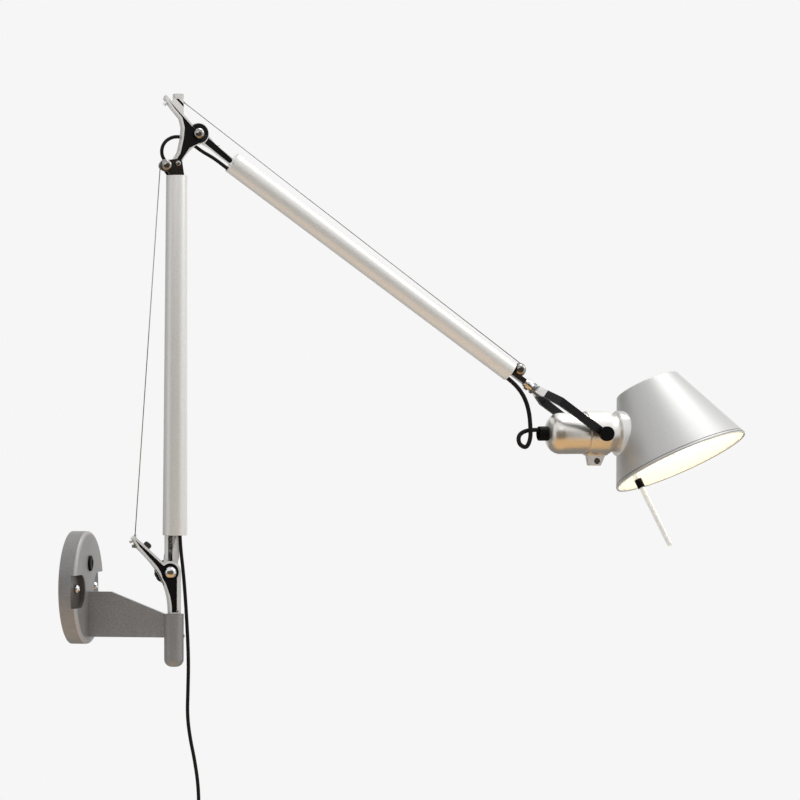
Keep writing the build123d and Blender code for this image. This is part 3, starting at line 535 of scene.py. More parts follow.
def ring_of(name, sample, count, radius, place, material, turn=0.0):
    """Geometry Nodes: the sample mesh set round a circle, each copy turned to face outwards."""
    tree = bpy.data.node_groups.new(name + "_ring", "GeometryNodeTree")
    tree.interface.new_socket("Sample", in_out="INPUT", socket_type="NodeSocketGeometry")
    tree.interface.new_socket("Count", in_out="INPUT", socket_type="NodeSocketInt")
    tree.interface.new_socket("Radius", in_out="INPUT", socket_type="NodeSocketFloat")
    tree.interface.new_socket("First turn", in_out="INPUT", socket_type="NodeSocketFloat")
    tree.interface.new_socket("Result", in_out="OUTPUT", socket_type="NodeSocketGeometry")
    given = add(tree, "NodeGroupInput")
    number = add(tree, "GeometryNodeInputIndex")
    part = add(tree, "ShaderNodeMath", {0: 2 * math.pi, 1: given.outputs["Count"]}, operation="DIVIDE")
    angle = add(tree, "ShaderNodeMath", {0: number.outputs[0], 1: part.outputs[0]}, operation="MULTIPLY")
    facing = add(tree, "ShaderNodeCombineXYZ", {"Z": angle.outputs[0]})
    across = add(tree, "ShaderNodeMath", {0: angle.outputs[0]}, operation="COSINE")
    along = add(tree, "ShaderNodeMath", {0: angle.outputs[0]}, operation="SINE")
    direction = add(tree, "ShaderNodeCombineXYZ", {"X": across.outputs[0], "Y": along.outputs[0]})
    spot = add(
        tree, "ShaderNodeVectorMath", {
            0: direction.outputs[0],
            "Scale": given.outputs["Radius"],
        }, operation="SCALE"
    )
    places = add(tree, "GeometryNodePoints", {"Count": given.outputs["Count"], "Position": spot.outputs[0]})
    placed = add(
        tree,
        "GeometryNodeInstanceOnPoints",
        {"Points": places.outputs[0], "Instance": given.outputs["Sample"], "Rotation": facing.outputs[0]},
    )
    first = add(tree, "ShaderNodeCombineXYZ", {"Z": given.outputs["First turn"]})
    turned_ring = add(
        tree,
        "GeometryNodeTransform",
        {"Geometry": placed.outputs[0], "Rotation": first.outputs[0]},
    )
    real = add(tree, "GeometryNodeRealizeInstances", {"Geometry": turned_ring.outputs[0]})
    finished = add(tree, "GeometryNodeSetMaterial", {"Geometry": real.outputs[0], "Material": material})
    add(tree, "NodeGroupOutput", {"Result": finished.outputs[0]})
    piece = bpy.data.objects.new(name, sample)
    bpy.context.collection.objects.link(piece)
    maker = piece.modifiers.new("ring", "NODES")
    maker.node_group = tree
    wanted = {"Count": count, "Radius": radius / 1000, "First turn": turn}
    for socket in tree.interface.items_tree:
        if socket.name in wanted:
            maker[socket.identifier] = wanted[socket.name]
    keep_result(piece)
    piece.data.transform(place)
    return piece


def eased(outline, ease, steps=3):
    """Rounds the corners of a turned outline of (along, radius), in millimetres."""
    softened = [outline[0]]
    for before, at, after in zip(outline, outline[1:], outline[2:]):
        a, b, c = (Vector(p) for p in (before, at, after))
        cut = min(ease, (a - b).length * 0.45, (c - b).length * 0.45)
        start = b + (a - b).normalized() * cut
        end = b + (c - b).normalized() * cut
        for n in range(steps + 1):
            s = n / steps
            softened.append(tuple(start * (1 - s) ** 2 + b * 2 * s * (1 - s) + end * s**2))
    return softened + [outline[-1]]


def turned_mesh(name, outline, place, sides=96, sharp=40, inside_from=None):
    """A mesh turned about its place's Z axis from (along, radius) in millimetres. A closed outline
    repeats its first point. Faces from outline point inside_from on take the second material."""
    shell = bmesh.new()
    rings = []
    closed = outline[0] == outline[-1]
    for along, radius in outline[:-1] if closed else outline:
        if radius < 1e-6:
            rings.append([shell.verts.new((0, 0, along / 1000))])
            continue
        turns = [2 * math.pi * n / sides for n in range(sides)]
        rings.append(
            [
                shell.verts.new((radius * math.cos(a) / 1000, radius * math.sin(a) / 1000, along / 1000))
                for a in turns
            ]
        )
    pairs = list(zip(rings, rings[1:])) + ([(rings[-1], rings[0])] if closed else [])
    for index, (low, high) in enumerate(pairs):
        for n in range(sides):
            m = (n + 1) % sides
            if len(low) == 1:
                face = shell.faces.new((low[0], high[m], high[n]))
            elif len(high) == 1:
                face = shell.faces.new((low[n], low[m], high[0]))
            else:
                face = shell.faces.new((low[n], low[m], high[m], high[n]))
            face.smooth = True
            face.material_index = 1 if inside_from is not None and index >= inside_from else 0
    bmesh.ops.recalc_face_normals(shell, faces=shell.faces)
    mesh = bpy.data.meshes.new(name)
    shell.to_mesh(mesh)
    shell.free()
    mesh.transform(place)
    mesh.set_sharp_from_angle(angle=math.radians(sharp))
    return mesh


def piece_of(name, mesh, materials, slot, body, *nodes):
    """Puts a finished mesh in the scene, on its body, in place of the solids it stands for."""
    piece = bpy.data.objects.new(name, mesh)
    bpy.context.collection.objects.link(piece)
    for material in materials:
        mesh.materials.append(material)
    if nodes:
        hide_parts(*nodes)
    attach(piece, body)


# Chromium plate on turned steel: mirror-bright and slightly blue, with hairlines from polishing.
chrome = fresh_material("chrome_plate")
hairlines = grain(chrome, 0.7)
surface(
    chrome,
    blend_colours(chrome, hairlines, "#d7d9dc", "#e6e7e9"),
    between(chrome, hairlines, 0.04, 0.12),
    1.0,
)

# Black chrome, on the cheeks and small screws: the same plate over a dark layer.
black_chrome = fresh_material("black_chrome_plate")
dark_lines = grain(black_chrome, 0.7)
surface(
    black_chrome,
    blend_colours(black_chrome, dark_lines, "#4a4745", "#5b5856"),
    between(black_chrome, dark_lines, 0.10, 0.2),
    1.0,
)
# Smoked chrome, on the dome nuts: between the two.
dome_chrome = fresh_material("smoked_chrome_plate")
dome_lines = grain(dome_chrome, 0.7)
surface(
    dome_chrome,
    blend_colours(dome_chrome, dome_lines, "#94928f", "#a5a3a1"),
    between(dome_chrome, dome_lines, 0.04, 0.1),
    1.0,
)

# Pan-headed screw with a round dimple, its axis along the circle's normal.
screw_outline = eased(
    [(-9, 0), (-9, 2.4), (0, 2.4), (0, 5.6), (2.4, 5.5), (4.6, 3.6), (5.2, 1.5), (4.0, 1.2), (4.0, 0)],
    0.7,
)
wall_screws = ring_of(
    "wall_screws",
    turned_mesh("wall_screw", screw_outline, Matrix.Identity(4), 32),
    2,
    45.0,
    Matrix.Translation((0.0152, 0, 0)) @ Matrix.Rotation(math.radians(90), 4, "Y"),
    chrome,
    math.pi / 2,
)
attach(wall_screws, "wall")


# ---- grommet, bush and set screw ----
# A moulded black stopper closes the plate's cable hole. The socket has an acetal bush, and a small
# set screw that keeps the lever's pin in.
black_moulding = fresh_material("black_moulding")
spark = grain(black_moulding, 0.9)
surface(
    black_moulding,
    blend_colours(black_moulding, spark, "#050506", "#0c0c0d"),
    between(black_moulding, spark, 0.38, 0.55),
    bump=bumped(black_moulding, spark, 0.05),
    IOR=1.5,
    Specular_IOR_Level=0.08,
)
ACROSS_PLATE = Matrix.Translation((0, 0, 0.0303)) @ Matrix.Rotation(math.radians(90), 4, "Y")
grommet_outline = eased(
    [(16, 0), (16, 8), (22, 8), (22, 9.9), (24.2, 9.6), (25, 7.5), (25, 5), (24.3, 3.6), (24.3, 0)],
    0.5,
)
piece_of(
    "hole_stopper", turned_mesh(
        "hole_stopper",
        grommet_outline,
        ACROSS_PLATE,
    ), [black_moulding], "black_plastic",
    "wall", "cable_grommet",
)

# Acetal: waxy black plastic, smoother than the mouldings.
bush_acetal = fresh_material("bush_acetal")
wax = grain(bush_acetal, 3.0)
surface(
    bush_acetal,
    blend_colours(bush_acetal, wax, "#161617", "#202022"),
    between(bush_acetal, wax, 0.3, 0.4),
    IOR=1.48,
)
eased_copy("acetal_bush", "socket_bush", 0.3, bush_acetal, "wall")

# Bright zinc-plated steel: cooler and duller than chrome, with a fine grain.
zinc_steel = fresh_material("zinc_steel")
zinc = grain(zinc_steel, 0.6)
surface(
    zinc_steel,
    blend_colours(zinc_steel, zinc, "#9a9a9b", "#bdbdbc"),
    between(zinc_steel, zinc, 0.22, 0.38),
    1.0,
)
eased_copy("grub_screw", "set_screw", 0.2, zinc_steel, "wall")


# ---- base lever ----
# A polished aluminium casting, bright round its rim, with black painted in its sunk sides and round the
# pivot boss as their shade and dark reflections. It swivels in the socket on a steel pin, and carries the
# lower arm, the wire's adjuster and a rubber stop.
def polished_casting(name, sunk_below_mm, pivot=None, boss_mm=12.0):
    """Polished cast aluminium whose sunk sides, nearer the arms' plane than a depth, and a boss round a
    given pivot, are painted black as their shade and dark reflections.
    """
    material = fresh_material(name)
    place = add(material, "ShaderNodeTexCoord")
    plane = add(
        material,
        "ShaderNodeMapping",
        {
            "Vector": place.outputs["Object"],
            "Location": (ARMS_FOOT, 0, 0),
            "Rotation": (0, 0, ARMS_TURN),
        },
        vector_type="TEXTURE",
    )
    split = add(material, "ShaderNodeSeparateXYZ", {0: plane.outputs[0]})
    depth = add(material, "ShaderNodeMath", {0: split.outputs["Y"]}, operation="ABSOLUTE")
    sunk = add(
        material,
        "ShaderNodeMath",
        {0: depth.outputs[0], 1: sunk_below_mm / 1000},
        operation="LESS_THAN",
    )
    sideways = (-math.sin(ARMS_TURN), math.cos(ARMS_TURN), 0)
    facing = add(
        material, "ShaderNodeVectorMath", {0: place.outputs["Normal"], 1: sideways}, operation="DOT_PRODUCT"
    )
    flat = add(material, "ShaderNodeMath", {0: facing.outputs["Value"]}, operation="ABSOLUTE")
    level = add(material, "ShaderNodeMath", {0: flat.outputs[0], 1: 0.8}, operation="GREATER_THAN")
    # Painted shade and dark reflection: the sunk faces, and the pivot boss, are coloured black.
    painted_dark_part = sunk.outputs[0]
    if pivot is not None:
        upright = add(material, "ShaderNodeCombineXYZ", {"X": split.outputs["X"], "Z": split.outputs["Z"]})
        centre = (pivot[0] / 1000, 0, pivot[1] / 1000)
        apart = add(
            material,
            "ShaderNodeVectorMath",
            {0: upright.outputs[0], 1: centre},
            operation="DISTANCE",
        )
        boss = add(
            material, "ShaderNodeMath", {
                0: apart.outputs["Value"],
                1: boss_mm / 1000,
            }, operation="LESS_THAN"
        )
        painted_dark_part = add(
            material,
            "ShaderNodeMath",
            {0: painted_dark_part, 1: boss.outputs[0]},
            operation="MAXIMUM",
        ).outputs[0]
    painted_dark_mask = add(
        material,
        "ShaderNodeMath",
        {0: painted_dark_part, 1: level.outputs[0]},
        operation="MULTIPLY",
    ).outputs[0]
    polish = grain(material, 3.0)
    bright = blend_colours(material, polish, "#ecebe8", "#f6f5f2")
    black = blend_colours(material, polish, "#080809", "#101011")
    gloss = between(material, polish, 0.10, 0.18)
    rough = add(material, "ShaderNodeMix", {0: painted_dark_mask, 2: gloss, 3: 0.42}, data_type="FLOAT").outputs[0]
    metal = add(material, "ShaderNodeMix", {0: painted_dark_mask, 2: 0.3, 3: 0.0}, data_type="FLOAT").outputs[0]
    coat = blend_colours(material, painted_dark_mask, bright, black)
    surface(material, coat, rough, metal, Specular_IOR_Level=0.15)
    return material


lever_metal = polished_casting("lever_polished_casting", 5.0, (-6.5, 20.0), 10.2)
eased_copy("lever_casting", "base_lever", 0.5, lever_metal, "base")
eased_copy("swivel_pin_steel", "base_pin", 0.3, zinc_steel, "base")
eased_copy("lever_cross_pin", "base_cross_pin", 0.2, zinc_steel, "base")
eased_copy("tip_screw_low", "base_tip_screw", 0.3, chrome, "base")

# Moulded rubber: dull, very dark and slightly dusty.
stop_rubber = fresh_material("stop_rubber")
dust = grain(stop_rubber, 1.2)
surface(
    stop_rubber,
    blend_colours(stop_rubber, dust, "#111112", "#242425"),
    between(stop_rubber, dust, 0.62, 0.8),
    bump=bumped(stop_rubber, dust, 0.08),
)
eased_copy("rubber_stop", "base_rubber_stop", 0.0, stop_rubber, "base")
eased_copy("wire_adjuster", "lower_adjuster", 0.2, zinc_steel, "base")


def seat_between(start, end):
    """A place whose Z axis runs from start to end, in scene coordinates."""
    run = end - start
    return Matrix.Translation(start) @ run.to_track_quat("Z", "Y").to_matrix().to_4x4()


def bar_mesh(name, length, width, height):
    """A small ridge with a rounded top, lying along Z and standing out along X, in millimetres."""
    half = width / 2
    section = [
        (-0.3, -half),
        (-0.3, half),
        (height * 0.6, half),
        (height, half * 0.4),
        (height, -half * 0.4),
    ]
    section.append((height * 0.6, -half))
    points = [(x / 1000, y / 1000, z / 1000) for z in (0, length) for x, y in section]
    count = len(section)
    faces = [tuple(reversed(range(count))), tuple(range(count, 2 * count))]
    faces += [(n, (n + 1) % count, (n + 1) % count + count, n + count) for n in range(count)]
    mesh = bpy.data.meshes.new(name)
    mesh.from_pydata(points, [], faces)
    shell = bmesh.new()
    shell.from_mesh(mesh)
    bmesh.ops.recalc_face_normals(shell, faces=shell.faces)
    shell.to_mesh(mesh)
    shell.free()
    return mesh


adjuster_low = at_rest(-50.2, 0, 50.5)
adjuster_high = at_rest(-49.6, 0, 67.5)
knurl = ring_of(
    "adjuster_knurl",
    bar_mesh("knurl_ridge", 3.4, 0.5, 0.35),
    20,
    3.2,
    seat_between(adjuster_low + (adjuster_high - adjuster_low) * 0.03, adjuster_high),
    zinc_steel,
)
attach(knurl, "base")


# ---- lower balance wire ----
# Bright stranded steel wire, held in the adjuster's end, drawn straight up to the pulley at the top.
# It has vertices at its ends only.
def taut_wire(name, start, end, material):
    wire = tube_along(name, [start, end], 0.0012, 12)
    wire.data.materials.append(material)
    return wire


def touch(anchor, centre, radius, side):
    """Where a wire from anchor meets a pulley's groove, in the arms' plane."""
    away = Vector((centre[0] - anchor[0], centre[1] - anchor[1]))
    aim = math.atan2(away.y, away.x) + side * math.asin(radius / away.length)
    run = math.sqrt(away.length**2 - radius**2)
    return (anchor[0] + run * math.cos(aim), anchor[1] + run * math.sin(aim))


# Drawn steel strand: grey-bright, with the short dark gaps between its strands.
wire_strand = fresh_material("wire_strand")
strand = grain(wire_strand, 0.9)
surface(
    wire_strand,
    blend_colours(wire_strand, strand, "#77787a", "#a9aaab"),
    between(wire_strand, strand, 0.25, 0.4),
    1.0,
)
low_anchor = (-49.6, 67.5)
low_touch = touch(low_anchor, (-11.5, 526.7), 6.0, 1)
low_wire = taut_wire(
    "balance_wire_low", at_rest(
        low_anchor[0],
        0,
        low_anchor[1],
    ), at_rest(low_touch[0], 0, low_touch[1]), wire_strand
)
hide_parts("lower_wire")
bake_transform(low_wire)


# ---- lower arm: foot, tube and balance spring ----
# A tapered aluminium tube in satin silver stands on a die-cast tongue that turns in the lever. The
# balance spring hangs inside it, closed-wound, with its wire over the pulley.
# Painted shade: faces within 1.9 mm of the arms' plane, such as the tongue's sunk groove, are coloured
# black.
fork_metal = polished_casting("fork_polished_casting", 1.9)
eased_copy("foot_tongue", "lower_fork", 0.35, fork_metal, "lower_arm")
eased_copy("foot_rivet", "fork_rivet", 0.3, zinc_steel, "lower_arm")

# Satin anodised aluminium, bead-blasted first: a pale grey with a fine sparkle that drifts a little.
SILVER = "#e4e2de"
tube_silver = fresh_material("tube_satin_anodised")
blast = grain(tube_silver, 0.9, 3.0)
drift = grain(tube_silver, 30.0)
silver_tone = blend_colours(tube_silver, between(tube_silver, blast, 0.0, 1.0), "#d9d7d2", "#efeeeb")
silver_tone = blend_colours(tube_silver, between(tube_silver, drift, 0.0, 0.3), silver_tone, SILVER)
surface(
    tube_silver,
    silver_tone,
    between(tube_silver, blast, 0.34, 0.42),
    0.32,
    bump=bumped(tube_silver, blast, 0.02),
)

LOWER_LENGTH = 448.5
lower_rounded = eased(
    [(2, 13.89), (0, 13.9), (0, 15.4), (LOWER_LENGTH, 13.15), (LOWER_LENGTH, 11.65), (2, 13.88)],
    0.5,
)
lower_rounded[-1] = lower_rounded[0]
LOWER_LINE = seat_between(at_rest(1.3, 0, 66), at_rest(3.55, 0, 514.5))
piece_of(
    "arm_tube_low", turned_mesh("arm_tube_low", lower_rounded, LOWER_LINE), [tube_silver], "satin_silver",
    "lower_arm", "lower_tube",
)


def wound_spring(name, place, length, radius, wire, turns, material):
    """Geometry Nodes: a closed-wound spring as a wire along a spiral."""
    tree = bpy.data.node_groups.new(name + "_winding", "GeometryNodeTree")
    for label in ("Length", "Coil radius", "Wire radius", "Turns"):
        tree.interface.new_socket(label, in_out="INPUT", socket_type="NodeSocketFloat")
    tree.interface.new_socket("Result", in_out="OUTPUT", socket_type="NodeSocketGeometry")
    given = add(tree, "NodeGroupInput")
    spiral = add(
        tree,
        "GeometryNodeCurveSpiral",
        {
            "Resolution": 14,
            "Rotations": given.outputs["Turns"],
            "Start Radius": given.outputs["Coil radius"],
            "End Radius": given.outputs["Coil radius"],
            "Height": given.outputs["Length"],
        },
    )
    section = add(
        tree, "GeometryNodeCurvePrimitiveCircle", {"Resolution": 6, "Radius": given.outputs["Wire radius"]}
    )
    swept = add(
        tree,
        "GeometryNodeCurveToMesh",
        {"Curve": spiral.outputs[0], "Profile Curve": section.outputs[0], "Fill Caps": True},
    )
    real = add(tree, "GeometryNodeRealizeInstances", {"Geometry": swept.outputs[0]})
    finished = add(tree, "GeometryNodeSetMaterial", {"Geometry": real.outputs[0], "Material": material})
    add(tree, "NodeGroupOutput", {"Result": finished.outputs[0]})
    mesh = bpy.data.meshes.new(name)
    piece = bpy.data.objects.new(name, mesh)
    bpy.context.collection.objects.link(piece)
    maker = piece.modifiers.new("winding", "NODES")
    maker.node_group = tree
    wanted = {
        "Length": length / 1000,
        "Coil radius": radius / 1000,
        "Wire radius": wire / 1000,
        "Turns": turns,
    }
    for socket in tree.interface.items_tree:
        if socket.name in wanted:
            maker[socket.identifier] = float(wanted[socket.name])
    keep_result(piece)
    piece.data.transform(place)
    return piece


# Oiled spring steel: dark blue-grey, half bright.
spring_steel = fresh_material("spring_steel")
oil = grain(spring_steel, 1.5)
surface(
    spring_steel,
    blend_colours(spring_steel, oil, "#5b5d60", "#808286"),
    between(spring_steel, oil, 0.25, 0.4),
    1.0,
)
low_spring = wound_spring(
    "balance_spring_low", seat_between(
        at_rest(-1.2, 0, 112),
        at_rest(-1.2, 0, 400),
    ), 288, 6.1, 0.85, 160, spring_steel
)
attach(low_spring, "lower_arm")
eased_copy("spring_ends_low", "lower_spring", 0.0, spring_steel, "lower_arm")


# ---- lower pivot and friction knob ----
# A bolt through lever and tongue with a chromed dome nut, and on the far side a fluted black knob that
# sets the joint's friction.
eased_copy("lever_bolt", "lower_pivot_bolt", 0.3, chrome, "lower_arm", 40)
eased_copy("friction_knob", "lower_friction_knob", 0.3, black_moulding, "friction_knob")


# ---- lower arm's top ----
# Two black-chromed cheeks hold the pulley and the elbow casting's foot, with dome-headed bolts.
eased_copy("top_cheeks", "lower_top_fitting", 0.3, black_chrome, "lower_arm")
eased_copy("pulley_low", "lower_pulley", 0.3, zinc_steel, "lower_pulley_body")
eased_copy("pulley_low_bolt", "lower_pulley_bolt", 0.3, dome_chrome, "lower_arm", 40)
eased_copy("casting_bolt", "joint_bolt", 0.2, dome_chrome, "lower_arm", 40)


# ---- elbow casting ----
# A Y-shaped polished casting like the lever, with black painted in its sunk sides and round the pivot boss
# as their shade and dark reflections. Its upper end has a clamping plate for the upper wire, two black
# inlays and a tip screw.
elbow_metal = polished_casting("elbow_polished_casting", 5.0, (30.2, 567.0), 12.4)
eased_copy("elbow_y", "elbow_casting", 0.4, elbow_metal, "lower_arm")
eased_copy("elbow_inlays", "elbow_pads", 0.0, black_moulding, "lower_arm")
eased_copy("wire_clamp_plate", "anchor_plate", 0.4, tube_silver, "lower_arm")
eased_copy("wire_ferrule_high", "upper_wire_anchor", 0.2, zinc_steel, "lower_arm")
eased_copy("tip_screw_high", "elbow_tip_screw", 0.3, chrome, "lower_arm")
eased_copy("elbow_bolt", "upper_pivot_bolt", 0.3, dome_chrome, "lower_arm", 40)


# ---- upper balance wire ----
# The same strand as below, from the clamping plate along the upper tube to the pulley at its far end.
high_anchor = (13.6, 605.1)
high_touch = touch(high_anchor, (454.0, 273.4), 7.4, 1)
high_wire = taut_wire(
    "balance_wire_high", at_rest(
        high_anchor[0],
        0,
        high_anchor[1],
    ), at_rest(high_touch[0], 0, high_touch[1]), wire_strand
)
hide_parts("upper_wire")
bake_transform(high_wire)


# ---- upper arm ----
# A parallel aluminium tube in the same satin silver, on a die-cast tongue that turns in the elbow, with
# a fitting at its far end for the pulley and the head's swivel.
slope = math.radians(35.35)
ARM = REST @ Matrix(
    (
        (math.cos(slope), 0, math.sin(slope), 0.0743),
        (0, 1, 0, 0),
        (-math.sin(slope), 0, math.cos(slope), 0.532),
        (0, 0, 0, 1),
    )
)
ARM_LINE = ARM @ Matrix.Rotation(math.radians(90), 4, "Y")
eased_copy("elbow_tongue", "upper_fork", 0.35, fork_metal, "upper_arm")
eased_copy("tongue_screw", "upper_fork_screw", 0.2, chrome, "upper_arm")
UPPER_LENGTH = 451.0
upper_rounded = eased(
    [(2, 12.0), (0, 12.0), (0, 13.5), (UPPER_LENGTH, 13.5), (UPPER_LENGTH, 12.0), (2, 12.0)],
    0.5,
)
upper_rounded[-1] = upper_rounded[0]
piece_of(
    "arm_tube_high", turned_mesh("arm_tube_high", upper_rounded, ARM_LINE), [tube_silver], "satin_silver",
    "upper_arm", "upper_tube",
)
high_spring = wound_spring(
    "balance_spring_high", ARM_LINE @ Matrix.Translation(
        (-0.0013, 0, 0.060)
    ), 260, 6.1, 0.85, 145, spring_steel
)
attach(high_spring, "upper_arm")
eased_copy("spring_ends_high", "upper_spring", 0.0, spring_steel, "upper_arm")
eased_copy("far_cheeks", "far_fitting", 0.3, black_chrome, "upper_arm")
eased_copy("pulley_high", "upper_pulley", 0.3, zinc_steel, "upper_pulley_body")
eased_copy("pulley_high_bolt", "upper_pulley_bolt", 0.3, dome_chrome, "upper_arm", 40)
eased_copy("head_knuckle", "swivel_knuckle", 0.3, chrome, "upper_arm")
eased_copy("head_pin", "swivel_pin", 0.2, zinc_steel, "upper_arm")


# ---- yoke ----
# A pressed steel fork in black textured coat, with a grey hub. It turns on the arm's end pin and holds
# the lamp between two round black knobs.
yoke_coat = fresh_material("yoke_black_coat")
yoke_peel = grain(yoke_coat, 1.0, 3.0)
yoke_black = blend_colours(yoke_coat, between(yoke_coat, yoke_peel, 0.0, 1.0), "#060607", "#17171a")
# The root beside the swivel is left bare and polished.
yoke_place = add(yoke_coat, "ShaderNodeTexCoord").outputs["Object"]
arm_way = (ARM_LINE.to_3x3() @ Vector((0, 0, 1))).normalized()
along_arm = add(
    yoke_coat,
    "ShaderNodeVectorMath",
    {0: yoke_place, 1: tuple(arm_way)},
    operation="DOT_PRODUCT",
)
root_end = arm_way.dot(ARM_LINE @ Vector((0, 0, 0.501)))
bare_root = add(
    yoke_coat, "ShaderNodeMath", {0: along_arm.outputs["Value"], 1: root_end}, operation="LESS_THAN"
).outputs[0]
surface(
    yoke_coat,
    blend_colours(yoke_coat, bare_root, yoke_black, "#dcdbd8"),
    add(
        yoke_coat,
        "ShaderNodeMix",
        {0: bare_root, 2: between(yoke_coat, yoke_peel, 0.32, 0.5), 3: 0.14},
    ).outputs[0],
    bare_root,
    bump=bumped(yoke_coat, yoke_peel, 0.12),
    Specular_IOR_Level=0.3,
)
eased_copy("head_yoke", "yoke", 0.6, yoke_coat, "yoke_body")
# Cast zinc, tumbled: a plain mid grey with a dull sheen.
hub_zinc = fresh_material("hub_zinc")
tumble = grain(hub_zinc, 1.2)
surface(
    hub_zinc,
    blend_colours(hub_zinc, tumble, "#6e7073", "#94969a"),
    between(hub_zinc, tumble, 0.3, 0.45),
    0.8,
)
eased_copy("yoke_collar", "yoke_hub", 0.3, hub_zinc, "yoke_body")


# ---- clamp ring and knobs ----
# A split aluminium ring grips the lampholder and is drawn up by a screw through its lug. Two shouldered
# studs carry it in the yoke, and the knobs tighten on them.
holder_silver = fresh_material("holder_satin_anodised")
holder_blast = grain(holder_silver, 0.8, 3.0)
surface(
    holder_silver,
    blend_colours(holder_silver, between(holder_silver, holder_blast, 0.0, 1.0), "#dedbd5", "#efedea"),
    between(holder_silver, holder_blast, 0.27, 0.35),
    0.95,
    bump=bumped(holder_silver, holder_blast, 0.02),
)
eased_copy("holder_clamp", "clamp_ring", 0.5, holder_silver, "clamp_body")
eased_copy("clamp_bolt", "clamp_screw", 0.3, black_chrome, "clamp_body")
eased_copy("knob_studs", "tilt_studs", 0.2, zinc_steel, "clamp_body")
eased_copy("knob_near", "head_knob_near", 0.0, black_moulding, "knob_near")
eased_copy("knob_far", "head_knob_far", 0.0, black_moulding, "knob_far")


# ---- lampholder ----
# A drawn aluminium can in satin silver round a ceramic socket, with a black cable gland at its back,
# a bright polished flange against the shade and a ring nut inside it.
HEAD = REST @ Matrix.Translation((0.55746, 0, 0.19148))
LAMP = HEAD @ Matrix.Rotation(math.radians(-18.1), 4, "X")
LAMP_LINE = LAMP @ Matrix.Rotation(math.radians(90), 4, "Y")


def quarter(centre_along, centre_radius, size, start, end, steps=10):
    """Part of a circle in a turned outline, by angles from the axis direction."""
    angles = [math.radians(start + (end - start) * n / steps) for n in range(steps + 1)]
    return [(centre_along + size * math.cos(a), centre_radius + size * math.sin(a)) for a in angles]


can_outline = [(-65.5, 6.0)] + quarter(-48.0, 9.0, 17.5, 180, 90, 14)
can_outline += eased(
    [(-40, 26.5), (17.5, 26.5), (17.5, 24.0), (52, 24.0), (52, 21.4), (-53.5, 21.4), (-53.5, 6)],
    0.5,
)
can_outline.append((-65.5, 6.0))
piece_of(
    "holder_can", turned_mesh(
        "holder_can",
        can_outline,
        LAMP_LINE,
    ), [holder_silver], "satin_silver", "lamp", "housing"
)
eased_copy("gland", "cable_gland", 0.3, black_moulding, "lamp")
eased_copy("shade_collar", "shade_flange", 0.4, fork_metal, "lamp")
eased_copy("inner_nut", "ring_nut", 0.3, black_moulding, "lamp")

# Glazed porcelain: warm white and glossy.
porcelain = fresh_material("holder_porcelain")
glaze = grain(porcelain, 4.0)
surface(
    porcelain,
    blend_colours(porcelain, glaze, "#e8e4da", "#f3f0e8"),
    between(porcelain, glaze, 0.12, 0.22),
    IOR=1.5,
)
eased_copy("porcelain_socket", "lampholder_insert", 0.3, porcelain, "lamp")


# ---- bulb ----
# A frosted globe lamp, lit: a warm white glow.
bulb_glow = fresh_material("bulb_frosted_glass")
frost = grain(bulb_glow, 6.0)
surface(
    bulb_glow,
    blend_colours(bulb_glow, frost, "#fff4e2", "#fff9ee"),
    between(bulb_glow, frost, 0.45, 0.6),
    Emission_Color=linear("#fff0cc"),
    Emission_Strength=7.0,
)
bulb_outline = [
    (40.5, 0),
    (40.5, 13.2),
    (63, 13.2),
    (70, 14.6),
    (80, 17.8),
    (92, 22.4),
    (104, 26.2),
    (116, 27.5),
]
bulb_outline += quarter(121, 0, 29, 70, 4, 10) + [(150, 0)]
piece_of(
    "globe_lamp",
    turned_mesh("globe_lamp", bulb_outline, LAMP_LINE),
    [bulb_glow],
    "bulb_glass",
    "lamp",
    "bulb",
)


# ---- shade ----
# Spun aluminium, satin silver outside and white inside, with a rolled rim. Its neck hole is clamped
# between the collar and the inner nut.
tip = math.radians(71.3)
SHADE = LAMP @ Matrix(
    (
        (math.sin(tip), 0, -math.cos(tip), 0.1002),
        (0, 1, 0, 0),
        (math.cos(tip), 0, math.sin(tip), 0),
        (0, 0, 0, 1),
    )
)
shade_silver = fresh_material("shade_satin_aluminium")
shade_place = add(shade_silver, "ShaderNodeTexCoord")
shade_blast = grain(shade_silver, 0.8, 3.0)
shade_tone = blend_colours(shade_silver, between(shade_silver, shade_blast, 0.0, 1.0), "#b6b6b5", "#c9c9c8")
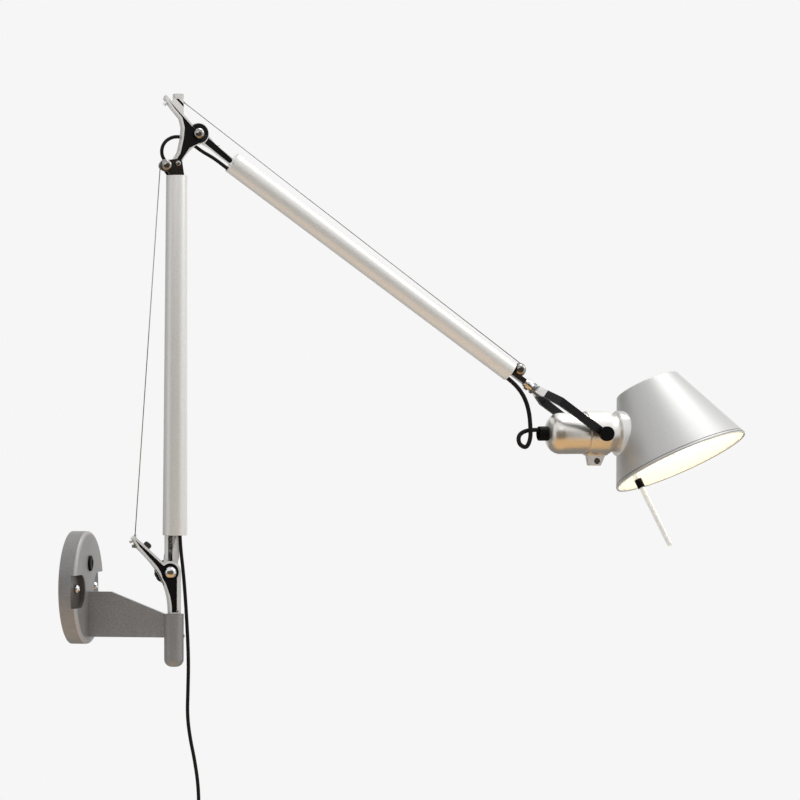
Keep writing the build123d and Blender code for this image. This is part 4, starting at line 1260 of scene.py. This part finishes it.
# Painted shadow: the dark line of the rolled rim's seam, a little above the mouth.
shade_way = (SHADE.to_3x3() @ Vector((0, 0, 1))).normalized()
up_shade = add(
    shade_silver,
    "ShaderNodeVectorMath",
    {0: shade_place.outputs["Object"], 1: tuple(shade_way)},
    operation="DOT_PRODUCT",
).outputs["Value"]
seam_at = shade_way.dot(SHADE @ Vector((0, 0, -0.0365)))
painted_seam_shadow = both(
    shade_silver,
    step_mask(shade_silver, up_shade, seam_at - 0.0005, "GREATER_THAN"),
    step_mask(shade_silver, up_shade, seam_at + 0.0005, "LESS_THAN"),
)
shade_tone = blend_colours(shade_silver, painted_seam_shadow, shade_tone, "#5c5a57")
surface(
    shade_silver,
    shade_tone,
    between(shade_silver, shade_blast, 0.42, 0.50),
    0.6,
    bump=bumped(shade_silver, shade_blast, 0.03),
)
# Stove enamel: opaque warm white, half gloss.
shade_enamel = fresh_material("shade_white_enamel")
enamel_flow = grain(shade_enamel, 5.0)
surface(
    shade_enamel,
    blend_colours(shade_enamel, enamel_flow, "#f1ece2", "#f8f5ee"),
    between(shade_enamel, enamel_flow, 0.3, 0.42),
)

UP, DOWN, CROWN, MOUTH, SKIN = 69.4, -40.0, 42.4, 90.0, 1.2
outside = eased([(UP, 0), (UP, CROWN), (DOWN + 1.4, MOUTH - 0.6)], 2.5, 6)
rim = quarter(DOWN, MOUTH - 0.6, 1.5, 60, -240, 18)
inside = [(DOWN + 1.6, MOUTH - 1.9), (UP - SKIN, CROWN - 1.3), (UP - SKIN, 0)]
shade_outline = outside[:-1] + rim + inside
shade_mesh = turned_mesh("lamp_shade", shade_outline, SHADE, 160, 40, len(outside) - 1 + len(rim) - 3)
piece_of(
    "lamp_shade",
    shade_mesh,
    [shade_silver, shade_enamel],
    "shade_metal",
    "lamp",
    "shade",
)

# Satin nickel on steel rod: pale, softer than chrome.
handle_nickel = fresh_material("handle_nickel")
nickel_drift = grain(handle_nickel, 5.0)
surface(
    handle_nickel,
    blend_colours(handle_nickel, nickel_drift, "#f6f5f1", "#fbfaf7"),
    between(handle_nickel, nickel_drift, 0.34, 0.42),
    0.12,
)
HANDLE_LENGTH = 132.0
handle_foot = SHADE @ Vector((-0.0624, 0, -0.139))
handle_head = SHADE @ Vector((-0.0624 - HANDLE_LENGTH * math.tan(math.radians(2.5)) / 1000, 0, -0.007))
handle_outline = [(0, 0)] + quarter(3.3, 0.2, 3.3, 165, 90, 5) + [(HANDLE_LENGTH, 3.5), (HANDLE_LENGTH, 0)]
piece_of(
    "shade_handle",
    turned_mesh("shade_handle", handle_outline, seat_between(handle_foot, handle_head), 40),
    [handle_nickel],
    "chrome",
    "lamp",
    "handle_rod",
)
eased_copy("handle_sleeve", "handle_ferrule", 0.3, black_moulding, "lamp")
